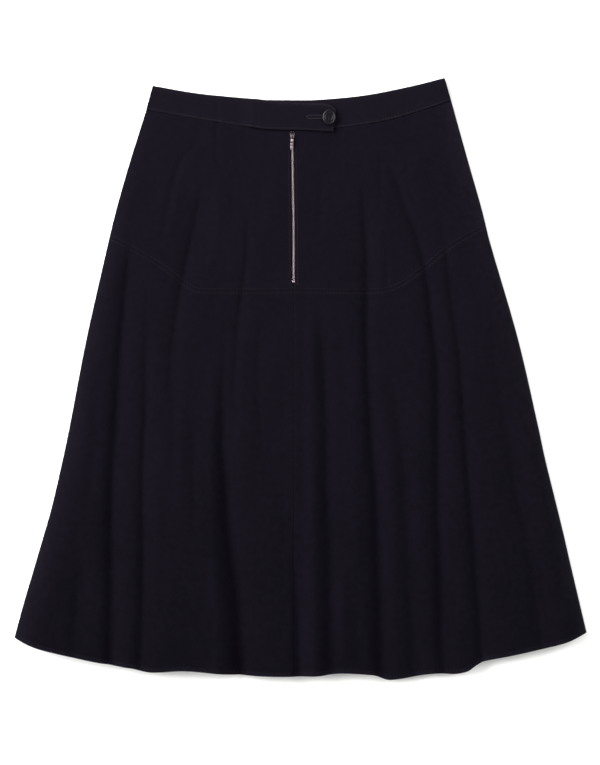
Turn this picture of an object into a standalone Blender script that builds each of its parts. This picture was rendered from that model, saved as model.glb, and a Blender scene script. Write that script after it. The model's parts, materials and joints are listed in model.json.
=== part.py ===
"""A suede a-line skirt, laid flat on its back with its front upwards.

X runs across the skirt towards the wearer's left, Y runs up to the waist, and Z rises from the
surface that the skirt lies on. The origin is on that surface, under the middle of the outline.
The tables and sizes are in millimetres, and to_metres() turns a point into Blender's units.

The back panel and the back of the waistband lie flat. The front lies on them: it is one soft
height, front_height(), which each front panel is cut from, so that they meet along their seams.
"""

import math
from collections import namedtuple

import bmesh
import bpy
from mathutils import Vector

MM = 0.001

# The cloth, and the gap that separate pieces keep where they meet.
SUEDE = 1.2
BAND = 2.4
GAP = 0.3

# The side seams, seen from above.
SideRow = namedtuple("SideRow", "y right left")
SIDE_SEAMS = (
    SideRow(380, -184.9, 182),
    SideRow(352, -191.6, 190),
    SideRow(276, -215.1, 211),
    SideRow(215, -232.4, 228.2),
    SideRow(175, -242.1, 238),
    SideRow(49, -270.5, 274.3),
    SideRow(-60, -291.4, 299.4),
    SideRow(-103, -300.3, 308.6),
    SideRow(-165, -314.7, 323.9),
    SideRow(-200, -324.8, 332.4),
    SideRow(-229, -333.3, 339),
    SideRow(-290, -351.2, 353.3),
    SideRow(-328, -361.4, 362.3),
)

# Lines across the skirt, each a row for every place where its bend changes.
LineRow = namedtuple("LineRow", "x y")
FRONT_HEM = (
    LineRow(-361, -327.6),
    LineRow(-344, -335.9),
    LineRow(-324, -342.6),
    LineRow(-269, -355.4),
    LineRow(-223, -364),
    LineRow(-212, -365.5),
    LineRow(-202, -368.4),
    LineRow(-187, -370.4),
    LineRow(-147, -368.4),
    LineRow(-102, -372.1),
    LineRow(-41, -375.4),
    LineRow(19, -374.6),
    LineRow(52, -371.4),
    LineRow(91, -373.8),
    LineRow(99, -376.5),
    LineRow(110, -379.8),
    LineRow(121, -379.1),
    LineRow(166, -372.2),
    LineRow(194, -372.4),
    LineRow(204, -370.8),
    LineRow(212, -368.1),
    LineRow(221, -361.5),
    LineRow(231, -356.5),
    LineRow(277, -346.7),
    LineRow(333, -333.3),
    LineRow(361, -320.9),
)
BACK_HEM = (
    LineRow(-361, -326),
    LineRow(-269, -352),
    LineRow(-147, -365),
    LineRow(0, -370),
    LineRow(110, -368),
    LineRow(231, -352),
    LineRow(322, -333),
    LineRow(361, -318.5),
)
YOKE_SEAM = (
    LineRow(-242, 180),
    LineRow(-204, 160),
    LineRow(-173, 141),
    LineRow(-136, 114),
    LineRow(-110, 111),
    LineRow(0, 111),
    LineRow(95, 111),
    LineRow(122, 117),
    LineRow(153, 138),
    LineRow(190, 168),
    LineRow(236, 194.5),
)
RIGHT_BAND_TOP = (
    LineRow(-187, 370.5),
    LineRow(-132, 361),
    LineRow(-72, 355),
    LineRow(-55, 353.5),
    LineRow(-20, 349.5),
    LineRow(24, 348),
    LineRow(44, 347.5),
)
RIGHT_BAND_FOOT = (
    LineRow(-191, 339.5),
    LineRow(-115, 326),
    LineRow(-72, 319.6),
    LineRow(-48, 316),
    LineRow(-26, 314.8),
    LineRow(-1, 314.5),
    LineRow(41, 312.6),
)
LEFT_BAND_TOP = (
    LineRow(-54, 352.5),
    LineRow(-11, 352.3),
    LineRow(19, 352.6),
    LineRow(80, 358.3),
    LineRow(140, 370),
    LineRow(182, 380.5),
)
LEFT_BAND_FOOT = (
    LineRow(-54, 321),
    LineRow(-11, 315.2),
    LineRow(15, 314.8),
    LineRow(53, 317.9),
    LineRow(107, 326.4),
    LineRow(153, 339.6),
    LineRow(189, 352),
)
BACK_BAND_TOP = (
    LineRow(-187, 369),
    LineRow(-132, 359.5),
    LineRow(-55, 351.5),
    LineRow(19, 350.5),
    LineRow(80, 356.5),
    LineRow(140, 368),
    LineRow(182, 379),
)
BACK_BAND_FOOT = (
    LineRow(-191, 341),
    LineRow(-115, 327.5),
    LineRow(0, 319.5),
    LineRow(107, 329.5),
    LineRow(189, 353.5),
)

# How high the front may stand off what it lies on, from the waist down to the hem.
CrestRow = namedtuple("CrestRow", "y height")
CREST = (
    CrestRow(350, 0.6),
    CrestRow(290, 1.8),
    CrestRow(240, 3.2),
    CrestRow(200, 4.4),
    CrestRow(150, 5.8),
    CrestRow(112, 6.8),
    CrestRow(0, 9.5),
    CrestRow(-100, 12),
    CrestRow(-200, 14.2),
    CrestRow(-336, 16),
)
BAND_STAND = 0.9
BAND_STAND_DEEP = 40
ROLL_AT_WAIST = 13
ROLL_AT_HEM = 40
ROLL_SHAPE = 0.75

# The soft furrows between the front's folds. starts, full and ends are heights up the skirt.
# depth and at_hem are shares of the crest that a furrow takes away; a ridge has negative ones.
# width and hem_width are its widths at the waist and at the hem. Each path runs down the skirt,
# as (y, x), along a furrow's steep wall or a ridge's near flank; the floor lies half a width on.
Fold = namedtuple("Fold", "name starts full ends depth at_hem width hem_width path")
THROUGH = -500
FOLDS = (
    Fold("right_1", 185, 130, THROUGH, 0.62, 0.55, 7, 11,
         ((185, -217), (150, -221), (100, -226), (20, -233), (-60, -238), (-140, -243),
          (-240, -244), (-345, -245))),
    Fold("right_2", 130, 0, THROUGH, 0.36, 0.40, 6, 9,
         ((130, -192), (100, -196), (20, -199), (-40, -199), (-120, -203), (-250, -203),
          (-345, -206))),
    Fold("right_3", 265, 205, -220, 0.55, 0.20, 6, 10,
         ((265, -125), (225, -131), (185, -139), (145, -148), (100, -157), (60, -163),
          (20, -167), (-60, -165), (-240, -168))),
    Fold("right_4", -40, -75, -230, 0.16, 0.16, 6, 8,
         ((-40, -138), (-100, -138), (-200, -138))),
    Fold("right_5", 110, -120, THROUGH, 0.62, 0.90, 5, 12,
         ((110, -98), (40, -100), (-40, -103), (-90, -103), (-130, -100), (-200, -96),
          (-280, -87), (-360, -83))),
    Fold("right_6", 225, 170, -190, 0.42, 0.30, 5, 8,
         ((225, -69), (160, -71), (120, -75), (80, -81), (40, -84), (-20, -87), (-100, -88),
          (-190, -85))),
    Fold("right_7", 90, 30, -140, 0.20, 0.20, 6, 8,
         ((90, -56), (20, -56), (-60, -55), (-130, -51))),
    Fold("right_8", -150, -290, THROUGH, 0.30, 0.45, 6, 8,
         ((-150, -10), (-230, -10), (-300, -8), (-370, -7))),
    Fold("right_side", -200, -270, THROUGH, 0.20, 0.20, 10, 12,
         ((-200, -280), (-290, -288), (-330, -292))),
    Fold("right_ridge", 20, -60, THROUGH, -0.12, -0.15, 7, 10,
         ((0, -114), (-150, -116), (-350, -108))),
    Fold("centre_ridge", 115, 20, THROUGH, -0.34, -0.38, 10, 13,
         ((110, 9), (-360, 11))),
    Fold("left_1", 120, 40, THROUGH, 0.34, 0.34, 7, 10,
         ((120, 19), (60, 21), (20, 25), (-60, 28), (-140, 28), (-220, 31), (-300, 31.5),
          (-370, 31.5))),
    Fold("left_2", 262, 215, THROUGH, 0.75, 0.62, 6, 11,
         ((262, 75), (200, 78), (140, 80), (60, 79), (0, 81), (-60, 84), (-100, 86),
          (-140, 90), (-220, 92), (-300, 94.5), (-370, 95.5))),
    Fold("left_3", 30, -60, THROUGH, 0.45, 0.50, 12, 18,
         ((30, 102), (0, 107), (-20, 111), (-60, 117), (-100, 122), (-160, 126), (-250, 130),
          (-340, 134))),
    Fold("left_4", 310, 250, THROUGH, 0.80, 0.60, 6, 11,
         ((310, 95), (285, 102), (258, 114), (235, 123), (215, 129), (185, 142), (150, 151),
          (110, 158), (60, 163), (20, 168), (-60, 169), (-160, 168), (-240, 171), (-320, 172),
          (-350, 174))),
    Fold("left_5", 262, 150, THROUGH, 0.50, 0.42, 6, 9,
         ((262, 167), (230, 169), (200, 174), (150, 182), (105, 187), (60, 193), (20, 198),
          (-60, 203), (-140, 209), (-180, 212), (-220, 215), (-300, 221), (-345, 224))),
    Fold("left_side", 130, 20, THROUGH, 0.25, 0.25, 9, 13,
         ((130, 231), (60, 238), (0, 243), (-60, 254), (-100, 261), (-140, 267), (-229, 284),
          (-336, 298))),
)
STEEP_WALL = 0.8
GENTLE_WALL = 1.3

# Lines down the skirt, as (y, x), that the mesh's columns follow: the strong folds, carried on
# up to the waist.
MeshLine = namedtuple("MeshLine", "name path")
MESH_LINES = (
    MeshLine("outer right", ((350, -163), (185, -215), (100, -226), (0, -234), (-140, -243),
                             (-345, -248))),
    MeshLine("middle right", ((350, -108), (265, -124), (185, -139), (100, -157), (60, -163),
                              (-60, -165), (-345, -169))),
    MeshLine("inner right", ((350, -60), (188, -84), (110, -97), (40, -100), (-60, -103),
                             (-130, -100), (-200, -96), (-360, -89))),
    MeshLine("inner left", ((350, 66), (262, 75), (140, 80), (0, 81), (-100, 86), (-220, 93),
                            (-370, 98))),
    MeshLine("middle left", ((350, 88), (310, 95), (258, 114), (215, 129), (150, 151),
                             (60, 163), (-60, 169), (-160, 168), (-350, 179))),
    MeshLine("outer left", ((350, 140), (230, 169), (150, 182), (60, 193), (-60, 203),
                            (-180, 212), (-300, 227), (-345, 231))),
)

# So many columns from one line to the next, from the side seam (None) to the centre (None).
RIGHT_COLUMNS = (
    (None, 0), ("outer right", 11), ("middle right", 13), ("inner right", 13), (None, 14),
)
LEFT_COLUMNS = (
    (None, 0), ("outer left", 12), ("middle left", 9), ("inner left", 14), (None, 16),
)
SIDE_CROWDING = 1.4
SKIRT_ROWS = 14
YOKE_ROWS = 7
BACK_COLUMNS = 26
BACK_ROWS = 9
BAND_COLUMNS = 20
TAB_COLUMNS = 18
TAB_CORNER_COLUMNS = 6
TAB_ROWS = 2
TAPE_COLUMNS = 2
TAPE_ROWS = 10
CHAIN_ROWS = 16

# The centre front, and the stand of the yoke there where it passes over the waistband's end.
CentreRow = namedtuple("CentreRow", "y x")
CENTRE_FRONT = (
    CentreRow(313, -10.7),
    CentreRow(270, -10.35),
    CentreRow(230, -9.75),
    CentreRow(190, -9.1),
    CentreRow(130, -9.05),
    CentreRow(-376, -8.8),
)
WAIST_Y = 313
HEM_Y = -376
CENTRE_LIFT = 0.9
CENTRE_LIFT_WIDE = 55
CENTRE_LIFT_DEEP = 70

# The waistband: its right half passes over its left half and ends in a tab.
TAB_END_TOP = 44.5
TAB_END_FOOT = 41.5
TAB_CORNER_LONG = 17
TAB_CORNER_HIGH = 9
UNDERLAP_END = -54
STEP_UP_FROM = -76
STEP_UP_TO = -57
BAND_EDGE = 0.5

# The zip.
ZIP_OPENING = 5.2
ZIP_TOP = 313.4
ZIP_FOOT = 121.6
TAPE_FOOT = 113
TAPE_WIDE = 12
TAPE = 0.6
CHAIN_WIDE = 2.9
CHAIN = 1.7
CHAIN_EDGE = 0.4
STOP_LONG = 2.4
STOP_WIDE = 3.6
SLIDER_Y = 307.3
SLIDER_LONG = 6.4
SLIDER_WIDE = 6.2
SLIDER_NECK = 4.2
SLIDER_NECK_INSET = 0.4
SLIDER_NECK_LIFT = 0.05
SLIDER_PLATE = 0.9
SLIDER_EDGE = 0.3
NECK_EDGE = 0.2
SLIDER_ABOVE_CHAIN = 0.95
CROWN_LONG = 4.0
CROWN_TOP = 1.35
CROWN_WIRE = 0.45
CROWN_SUNK = 0.3
CROWN_STEPS = 8
CROWN_SHAPE = 0.5
HINGE_ABOVE_SLIDER = 0.95
PULL = 0.9
PULL_TILT = math.radians(2.9)
PULL_SWING = math.radians(-4)
PULL_WINDOW_WIDE = 2.0
PULL_WINDOW_LONG = 2.3

# The pull tab's half width, from just behind its hinge to its tip.
PullRow = namedtuple("PullRow", "along half")
PULL_OUTLINE = (
    PullRow(0.45, 1.5),
    PullRow(0.0, 1.8),
    PullRow(-2.8, 1.8),
    PullRow(-3.0, 1.4),
    PullRow(-4.5, 1.4),
    PullRow(-4.6, 1.5),
    PullRow(-7.9, 1.5),
    PullRow(-8.1, 1.4),
    PullRow(-9.5, 1.4),
    PullRow(-9.6, 1.9),
    PullRow(-11.0, 1.8),
    PullRow(-12.4, 1.4),
    PullRow(-13.8, 1.6),
    PullRow(-15.6, 1.4),
    PullRow(-17.4, 1.0),
    PullRow(-18.9, 0.4),
)

# The button, turned from this profile: up its dish and over its rim, then round under it.
BUTTON_X = 35.7
BUTTON_Y = 330.1
BUTTON_HIGH = 3.0
BUTTON_STEPS = 32
BUTTON_TALL = 1.17
ButtonRow = namedtuple("ButtonRow", "radius height")
BUTTON_PROFILE = (
    ButtonRow(0, 1.6),
    ButtonRow(3.8, 1.6),
    ButtonRow(4.65, 2.6),
    ButtonRow(5.3, 2.25),
    ButtonRow(6.3, 2.35),
    ButtonRow(6.95, 3.0),
    ButtonRow(7.6, 2.6),
    ButtonRow(8.3, 2.4),
    ButtonRow(8.6, 1.4),
    ButtonRow(8.2, 0.4),
    ButtonRow(7.2, 0),
    ButtonRow(0, 0),
)
BUTTON_HOLE = 2.0
BUTTON_HOLE_SPACING = 3.4
BUTTON_HOLE_SIDES = 10


def to_metres(x, y, z):
    return Vector((x, y, z)) * MM


def clear_scene():
    for old in list(bpy.data.objects):
        bpy.data.objects.remove(old)


def new_collection(name):
    made = bpy.data.collections.new(name)
    bpy.context.scene.collection.children.link(made)
    return made


def material(name, colour, roughness, metallic=0.0):
    made = bpy.data.materials.new(name)
    made.use_nodes = True
    shader = made.node_tree.nodes["Principled BSDF"]
    shader.inputs["Base Color"].default_value = (*colour, 1)
    shader.inputs["Roughness"].default_value = roughness
    shader.inputs["Metallic"].default_value = metallic
    return made


def smoothly(share):
    """0 below 0 and 1 above 1, with an easy start and end."""
    share = min(max(share, 0), 1)
    return share * share * (3 - 2 * share)


def curve_through(rows):
    """A smooth function through (at, value) rows, straight beyond the first and the last."""
    rows = sorted(rows)
    last = len(rows) - 1
    slopes = []
    for i in range(last + 1):
        before, after = rows[max(i - 1, 0)], rows[min(i + 1, last)]
        slopes.append((after[1] - before[1]) / (after[0] - before[0]))

    def value(at):
        if at <= rows[0][0]:
            return rows[0][1] + slopes[0] * (at - rows[0][0])
        if at >= rows[last][0]:
            return rows[last][1] + slopes[last] * (at - rows[last][0])
        i = max(k for k in range(last) if rows[k][0] <= at)
        (x0, y0), (x1, y1) = rows[i], rows[i + 1]
        span = x1 - x0
        t = (at - x0) / span
        rising = t * t * (3 - 2 * t)
        bend = t * (1 - t) * span * (slopes[i] * (1 - t) - slopes[i + 1] * t)
        return y0 + (y1 - y0) * rising + bend

    return value


right_side = curve_through([(row.y, row.right) for row in SIDE_SEAMS])
left_side = curve_through([(row.y, row.left) for row in SIDE_SEAMS])
crest = curve_through(CREST)
centre = curve_through(CENTRE_FRONT)
fold_paths = {fold.name: curve_through(fold.path) for fold in FOLDS}
mesh_lines = {line.name: curve_through(line.path) for line in MESH_LINES}
front_hem = curve_through(FRONT_HEM)
back_hem = curve_through(BACK_HEM)
yoke_seam = curve_through(YOKE_SEAM)
right_band_top = curve_through(RIGHT_BAND_TOP)
right_band_foot = curve_through(RIGHT_BAND_FOOT)
left_band_top = curve_through(LEFT_BAND_TOP)
left_band_foot = curve_through(LEFT_BAND_FOOT)
back_band_top = curve_through(BACK_BAND_TOP)
back_band_foot = curve_through(BACK_BAND_FOOT)


def moved(line, by):
    """The same line, moved up the skirt."""
    return lambda x: line(x) + by


def fold_depth(fold, y):
    """The share of the crest that a fold's furrow takes away at this height."""
    begun = smoothly((fold.starts - y) / (fold.starts - fold.full))
    if fold.ends == THROUGH:
        gone, end = 0, HEM_Y
    else:
        gone, end = smoothly((fold.full - y) / (fold.full - fold.ends)), fold.ends
    down = min(max((fold.full - y) / (fold.full - end), 0), 1)
    return (fold.depth + (fold.at_hem - fold.depth) * down) * begun * (1 - gone)


def front_height(x, y):
    """How high the inner face of the front lies at this place."""
    inside = min(x - right_side(y), left_side(y) - x)
    down = min(max((WAIST_Y - y) / (WAIST_Y - HEM_Y), 0), 1)
    roll = ROLL_AT_WAIST + (ROLL_AT_HEM - ROLL_AT_WAIST) * down
    share = min(max(inside / roll, 0), 1)
    stand = crest(y) * (share * (2 - share)) ** ROLL_SHAPE
    for fold in FOLDS:
        width = fold.width + (fold.hem_width - fold.width) * down
        away = (x - fold_paths[fold.name](y)) / width - 0.5
        away /= STEEP_WALL if away < 0 else GENTLE_WALL
        stand *= 1 - fold_depth(fold, y) / (1 + away * away)
    beside = smoothly(1 - abs(x - centre(y)) / CENTRE_LIFT_WIDE)
    below = smoothly(1 - (WAIST_Y - y) / CENTRE_LIFT_DEEP)
    to_band = smoothly(1 - (back_band_foot(x) - y) / BAND_STAND_DEEP)
    stand += BAND_STAND * to_band + CENTRE_LIFT * beside * below
    return SUEDE + GAP + stand


def column_line(columns, side, front_edge, i):
    """The x of mesh column i as a function of y, between a side seam and the centre front."""
    first = 0
    for k in range(1, len(columns)):
        name, count = columns[k]
        if i <= first + count:
            break
        first += count
    share = (i - first) / count
    before = side if k == 1 else mesh_lines[columns[k - 1][0]]
    after = mesh_lines[name] if name else front_edge
    if k == 1:
        share **= SIDE_CROWDING
    return lambda y: before(y) + (after(y) - before(y)) * share


def on_line(line_x, line_y):
    """The point where a mesh column crosses a line across the skirt."""
    y = 0
    for _ in range(30):
        y = line_y(line_x(y))
    return y


def panel(name, columns, rows, place, wall, finish, edge=0):
    """A sheet of cloth: a grid whose points place(i, j) puts, given its wall above them.

    Column i runs across and row j from the waist down, and edge rounds the sheet's rim.
    """
    bpy.ops.mesh.primitive_grid_add(x_subdivisions=columns, y_subdivisions=rows, size=1)
    sheet = bpy.context.object
    sheet.name = sheet.data.name = name
    for vertex in sheet.data.vertices:
        i = round((vertex.co.x + 0.5) * columns)
        j = round((0.5 - vertex.co.y) * rows)
        vertex.co = to_metres(*place(i, j))
    solidify = sheet.modifiers.new("Wall", "SOLIDIFY")
    solidify.thickness = wall * MM
    solidify.offset = 1
    solidify.use_even_offset = True
    if edge:
        rounding = sheet.modifiers.new("Edge", "BEVEL")
        rounding.width = edge * MM
        rounding.segments = 1
        rounding.limit_method = "ANGLE"
        rounding.angle_limit = math.radians(50)
    sheet.data.materials.append(finish)
    sheet.data.shade_smooth()
    return keep(sheet, garment)


def keep(thing, collection):
    """Moves an object out of the scene's own collection into this one."""
    for old in list(thing.users_collection):
        old.objects.unlink(thing)
    collection.objects.link(thing)
    return thing


def front_panel(name, upper, lower, rows, column_plan, side, front_edge, finish):
    """A front panel between two lines across the skirt, a side seam and the centre front."""
    total = sum(count for _, count in column_plan)
    lines = [column_line(column_plan, side, front_edge, i) for i in range(total + 1)]
    if side is right_side:
        order = list(range(total + 1))
    else:
        order = list(range(total, -1, -1))
    tops = [on_line(line, upper) for line in lines]
    feet = [on_line(line, lower) for line in lines]

    def place(i, j):
        k = order[i]
        y = tops[k] + (feet[k] - tops[k]) * j / rows
        x = lines[k](y)
        return x, y, front_height(x, y)

    return panel(name, total, rows, place, SUEDE, finish)


def make_front(finish):
    half_gap = GAP / 2
    half_zip = ZIP_OPENING / 2
    for word, sign, plan, side, band_foot in (
        ("right", -1, RIGHT_COLUMNS, right_side, right_band_foot),
        ("left", 1, LEFT_COLUMNS, left_side, left_band_foot),
    ):
        front_panel(
            f"front_yoke_{word}", moved(band_foot, -GAP), moved(yoke_seam, half_gap),
            YOKE_ROWS, plan, side, lambda y: centre(y) + sign * half_zip, finish,
        )
        front_panel(
            f"front_skirt_{word}", moved(yoke_seam, -half_gap), front_hem,
            SKIRT_ROWS, plan, side, lambda y: centre(y) + sign * half_gap, finish,
        )


def strip(name, columns, rows, start_x, end_x, top, foot, height, wall, finish, edge=0):
    """A sheet between two lines across the skirt, from one end to the other."""
    lines = []
    for i in range(columns + 1):
        share = i / columns
        lines.append(lambda y, s=share: start_x(y) + (end_x(y) - start_x(y)) * s)
    tops = [on_line(line, top) for line in lines]
    feet = [on_line(line, foot) for line in lines]

    def place(i, j):
        y = tops[i] + (feet[i] - tops[i]) * j / rows
        x = lines[i](y)
        return x, y, height(x, y)

    return panel(name, columns, rows, place, wall, finish, edge)


def make_back(finish):
    flat = lambda x, y: 0
    strip("back_panel", BACK_COLUMNS, BACK_ROWS, right_side, left_side,
          moved(back_band_foot, -GAP), back_hem, flat, SUEDE, finish)
    strip("waistband_back", BAND_COLUMNS, 1, right_side, left_side,
          back_band_top, back_band_foot, flat, BAND, finish, BAND_EDGE)


def right_band_height(x, y):
    """The right half of the band steps up over the end of the left half."""
    step = smoothly((x - STEP_UP_FROM) / (STEP_UP_TO - STEP_UP_FROM))
    return (BAND + GAP) * (1 + step)


def tab_top(x):
    """The tab's upper edge, with its round corner."""
    past = (x - (TAB_END_TOP - TAB_CORNER_LONG)) / TAB_CORNER_LONG
    if past <= 0:
        return right_band_top(x)
    return right_band_top(x) - TAB_CORNER_HIGH * (1 - math.sqrt(max(1 - past * past, 0)))


def make_waistband(finish):
    corner_start = TAB_END_TOP - TAB_CORNER_LONG
    top_start = right_side(right_band_top(RIGHT_BAND_TOP[0].x))
    foot_start = right_side(right_band_foot(RIGHT_BAND_FOOT[0].x))

    def place(i, j):
        if i <= TAB_COLUMNS:
            share = i / TAB_COLUMNS
            top_x = top_start + (corner_start - top_start) * share
            foot_x = foot_start + (corner_start - foot_start) * share
        else:
            turn = math.sin(math.pi / 2 * (i - TAB_COLUMNS) / TAB_CORNER_COLUMNS)
            top_x = corner_start + TAB_CORNER_LONG * turn
            foot_x = corner_start + (TAB_END_FOOT - corner_start) * turn
        share = j / TAB_ROWS
        x = top_x + (foot_x - top_x) * share
        y = tab_top(top_x) + (right_band_foot(foot_x) - tab_top(top_x)) * share
        return x, y, right_band_height(x, y)

    panel("waistband_right", TAB_COLUMNS + TAB_CORNER_COLUMNS, TAB_ROWS, place, BAND, finish,
          BAND_EDGE)
    strip("waistband_left", BAND_COLUMNS, 1, lambda y: UNDERLAP_END, left_side, left_band_top,
          left_band_foot, lambda x, y: BAND + GAP, BAND, finish, BAND_EDGE)


def make_zip_strips(tape_finish, metal):
    half_gap = GAP / 2
    for word, sign in (("right", -1), ("left", 1)):
        near = lambda y: centre(y) + sign * half_gap
        far = lambda y: centre(y) + sign * TAPE_WIDE
        start, end = (far, near) if sign < 0 else (near, far)
        strip(f"zip_tape_{word}", TAPE_COLUMNS, TAPE_ROWS, start, end,
              lambda x: ZIP_TOP, lambda x: TAPE_FOOT,
              lambda x, y: front_height(x, y) - GAP - TAPE, TAPE, tape_finish)
    chain_top = SLIDER_Y - SLIDER_LONG / 2 - GAP
    strip("zip_chain", 1, CHAIN_ROWS, lambda y: centre(y) - CHAIN_WIDE / 2,
          lambda y: centre(y) + CHAIN_WIDE / 2, lambda x: chain_top,
          lambda x: ZIP_FOOT + STOP_LONG + GAP, lambda x, y: front_height(centre(y), y),
          CHAIN, metal, CHAIN_EDGE)
    strip("zip_bottom_stop", 1, 1, lambda y: centre(y) - STOP_WIDE / 2,
          lambda y: centre(y) + STOP_WIDE / 2, lambda x: ZIP_FOOT + STOP_LONG,
          lambda x: ZIP_FOOT, lambda x, y: front_height(centre(y), y), CHAIN, metal, CHAIN_EDGE)


def box(name, low, high, edge, finish):
    """A block between two corners, with rounded edges."""
    bpy.ops.mesh.primitive_cube_add(size=1)
    made = bpy.context.object
    made.name = made.data.name = name
    for vertex in made.data.vertices:
        for axis in range(3):
            vertex.co[axis] = (high[axis] if vertex.co[axis] > 0 else low[axis]) * MM
    rounding = made.modifiers.new("Edge", "BEVEL")
    rounding.width = edge * MM
    rounding.segments = 2
    made.data.materials.append(finish)
    return made


def unite(base, other):
    joining = base.modifiers.new("Join", "BOOLEAN")
    joining.operation = "UNION"
    joining.object = other
    other.hide_render = True
    other.display_type = "WIRE"
    keep(other, cutters)


def solid_from_curve(curve):
    """A closed mesh with the form of a curve, in its place."""
    graph = bpy.context.evaluated_depsgraph_get()
    mesh = bpy.data.meshes.new_from_object(curve.evaluated_get(graph))
    welding = bmesh.new()
    welding.from_mesh(mesh)
    bmesh.ops.remove_doubles(welding, verts=welding.verts, dist=0.00001)
    welding.to_mesh(mesh)
    welding.free()
    made = bpy.data.objects.new(curve.name, mesh)
    made.matrix_world = curve.matrix_world
    bpy.context.scene.collection.objects.link(made)
    bpy.data.objects.remove(curve)
    return made


def slider_top():
    return front_height(centre(SLIDER_Y), SLIDER_Y) + CHAIN + SLIDER_ABOVE_CHAIN


def make_slider(metal):
    """A slider: a neck between the tapes' edges, a wider plate on them, and a crown."""
    x = centre(SLIDER_Y)
    z = slider_top()
    near, far = SLIDER_Y - SLIDER_LONG / 2, SLIDER_Y + SLIDER_LONG / 2
    slider = box("zip_slider", (x - SLIDER_WIDE / 2, near, z - SLIDER_PLATE),
                 (x + SLIDER_WIDE / 2, far, z), SLIDER_EDGE, metal)
    foot = front_height(x, SLIDER_Y) + SLIDER_NECK_LIFT
    neck = box("slider_neck", (x - SLIDER_NECK / 2, near + SLIDER_NECK_INSET, foot),
               (x + SLIDER_NECK / 2, far - SLIDER_NECK_INSET, z - SLIDER_PLATE / 2),
               NECK_EDGE, metal)
    unite(slider, neck)
    path = bpy.data.curves.new("crown", "CURVE")
    path.dimensions = "3D"
    path.bevel_depth = CROWN_WIRE * MM
    path.bevel_resolution = 2
    path.use_fill_caps = True
    spline = path.splines.new("POLY")
    spline.points.add(CROWN_STEPS)
    sunk = HINGE_ABOVE_SLIDER + CROWN_SUNK
    for k in range(CROWN_STEPS + 1):
        turn = math.pi * k / CROWN_STEPS
        y = SLIDER_Y - CROWN_LONG / 2 * math.cos(turn)
        height = -sunk + (CROWN_TOP + sunk) * math.sin(turn) ** CROWN_SHAPE
        spline.points[k].co = (*to_metres(x, y, z + HINGE_ABOVE_SLIDER + height), 1)
    crown = bpy.data.objects.new("slider_crown", path)
    bpy.context.scene.collection.objects.link(crown)
    unite(slider, solid_from_curve(crown))
    keep(slider, garment)


def make_pull(metal):
    """The pull tab: its window takes the slider's crown, and its bar turns under it."""
    shape = bpy.data.curves.new("zip_pull", "CURVE")
    shape.dimensions = "2D"
    shape.fill_mode = "BOTH"
    shape.extrude = PULL / 2 * MM
    full = [(row.half, row.along) for row in PULL_OUTLINE]
    full += [(-row.half, row.along) for row in reversed(PULL_OUTLINE)]
    window_x = PULL_WINDOW_WIDE / 2
    window_top, window_foot = -PULL / 2, -PULL / 2 - PULL_WINDOW_LONG
    window = ((-window_x, window_top), (window_x, window_top),
              (window_x, window_foot), (-window_x, window_foot))
    for ring in (full, window):
        spline = shape.splines.new("POLY")
        spline.points.add(len(ring) - 1)
        spline.use_cyclic_u = True
        for point, (x, y) in zip(spline.points, ring):
            point.co = (*to_metres(x, y, 0), 1)
    pull = bpy.data.objects.new("zip_pull", shape)
    bpy.context.scene.collection.objects.link(pull)
    pull.data.materials.append(metal)
    pull.location = to_metres(centre(SLIDER_Y), SLIDER_Y, slider_top() + HINGE_ABOVE_SLIDER)
    pull.rotation_euler = (PULL_TILT, 0, PULL_SWING)
    keep(pull, garment)


def make_button(finish):
    """A four-hole button with a raised rim, a little taller than it is wide."""
    mesh = bpy.data.meshes.new("button")
    points = [to_metres(row.radius, 0, row.height) for row in BUTTON_PROFILE]
    mesh.from_pydata(points, [(k, k + 1) for k in range(len(points) - 1)], [])
    button = bpy.data.objects.new("button", mesh)
    bpy.context.scene.collection.objects.link(button)
    turning = button.modifiers.new("Turn", "SCREW")
    turning.steps = turning.render_steps = BUTTON_STEPS
    turning.use_merge_vertices = True
    turning.merge_threshold = 0.00001
    button.data.materials.append(finish)
    button.scale.y = BUTTON_TALL
    button.location = to_metres(
        BUTTON_X, BUTTON_Y, right_band_height(BUTTON_X, BUTTON_Y) + BAND + GAP
    )
    keep(button, garment)
    for k in range(4):
        turn = math.pi / 4 + math.pi / 2 * k
        reach = BUTTON_HOLE_SPACING / math.sqrt(2)
        bpy.ops.mesh.primitive_cylinder_add(
            vertices=BUTTON_HOLE_SIDES, radius=BUTTON_HOLE / 2 * MM, depth=4 * BUTTON_HIGH * MM,
            location=button.location + to_metres(reach * math.cos(turn), reach * math.sin(turn), 0),
        )
        hole = bpy.context.object
        hole.name = f"button_hole_{k + 1}"
        cutting = button.modifiers.new(f"Hole {k + 1}", "BOOLEAN")
        cutting.operation = "DIFFERENCE"
        cutting.object = hole
        hole.hide_render = True
        hole.display_type = "WIRE"
        keep(hole, cutters)


clear_scene()
garment = new_collection("Suede a-line skirt")
cutters = new_collection("Cutters")
suede = material("dark suede", (0.012, 0.010, 0.016), 0.95)
tape = material("zip tape", (0.010, 0.009, 0.013), 0.9)
silver = material("warm silver zip metal", (0.62, 0.57, 0.58), 0.35, 1.0)
horn = material("dark button", (0.022, 0.020, 0.028), 0.45)
make_back(suede)
make_front(suede)
make_waistband(suede)
make_zip_strips(tape, silver)
make_slider(silver)
make_pull(silver)
make_button(horn)
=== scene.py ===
# %% [markdown]
# # A suede a-line skirt, laid flat
#
# This lesson dresses a finished, rigid model of a dark suede skirt. The skirt lies on its back on a
# white table, and its front is soft: it falls from a curved yoke into long, uneven folds. The model
# already says where everything is, so nothing here is moved or resized. Each plain solid gives its
# place to a piece of the same form, made fine enough for cloth, stitches and zip teeth.
#
# Sizes are in millimetres, as on a cutting table, and are turned into Blender's metres at the last
# moment. X runs towards the wearer's left, Y up to the waist and Z out of the skirt's front.

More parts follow.
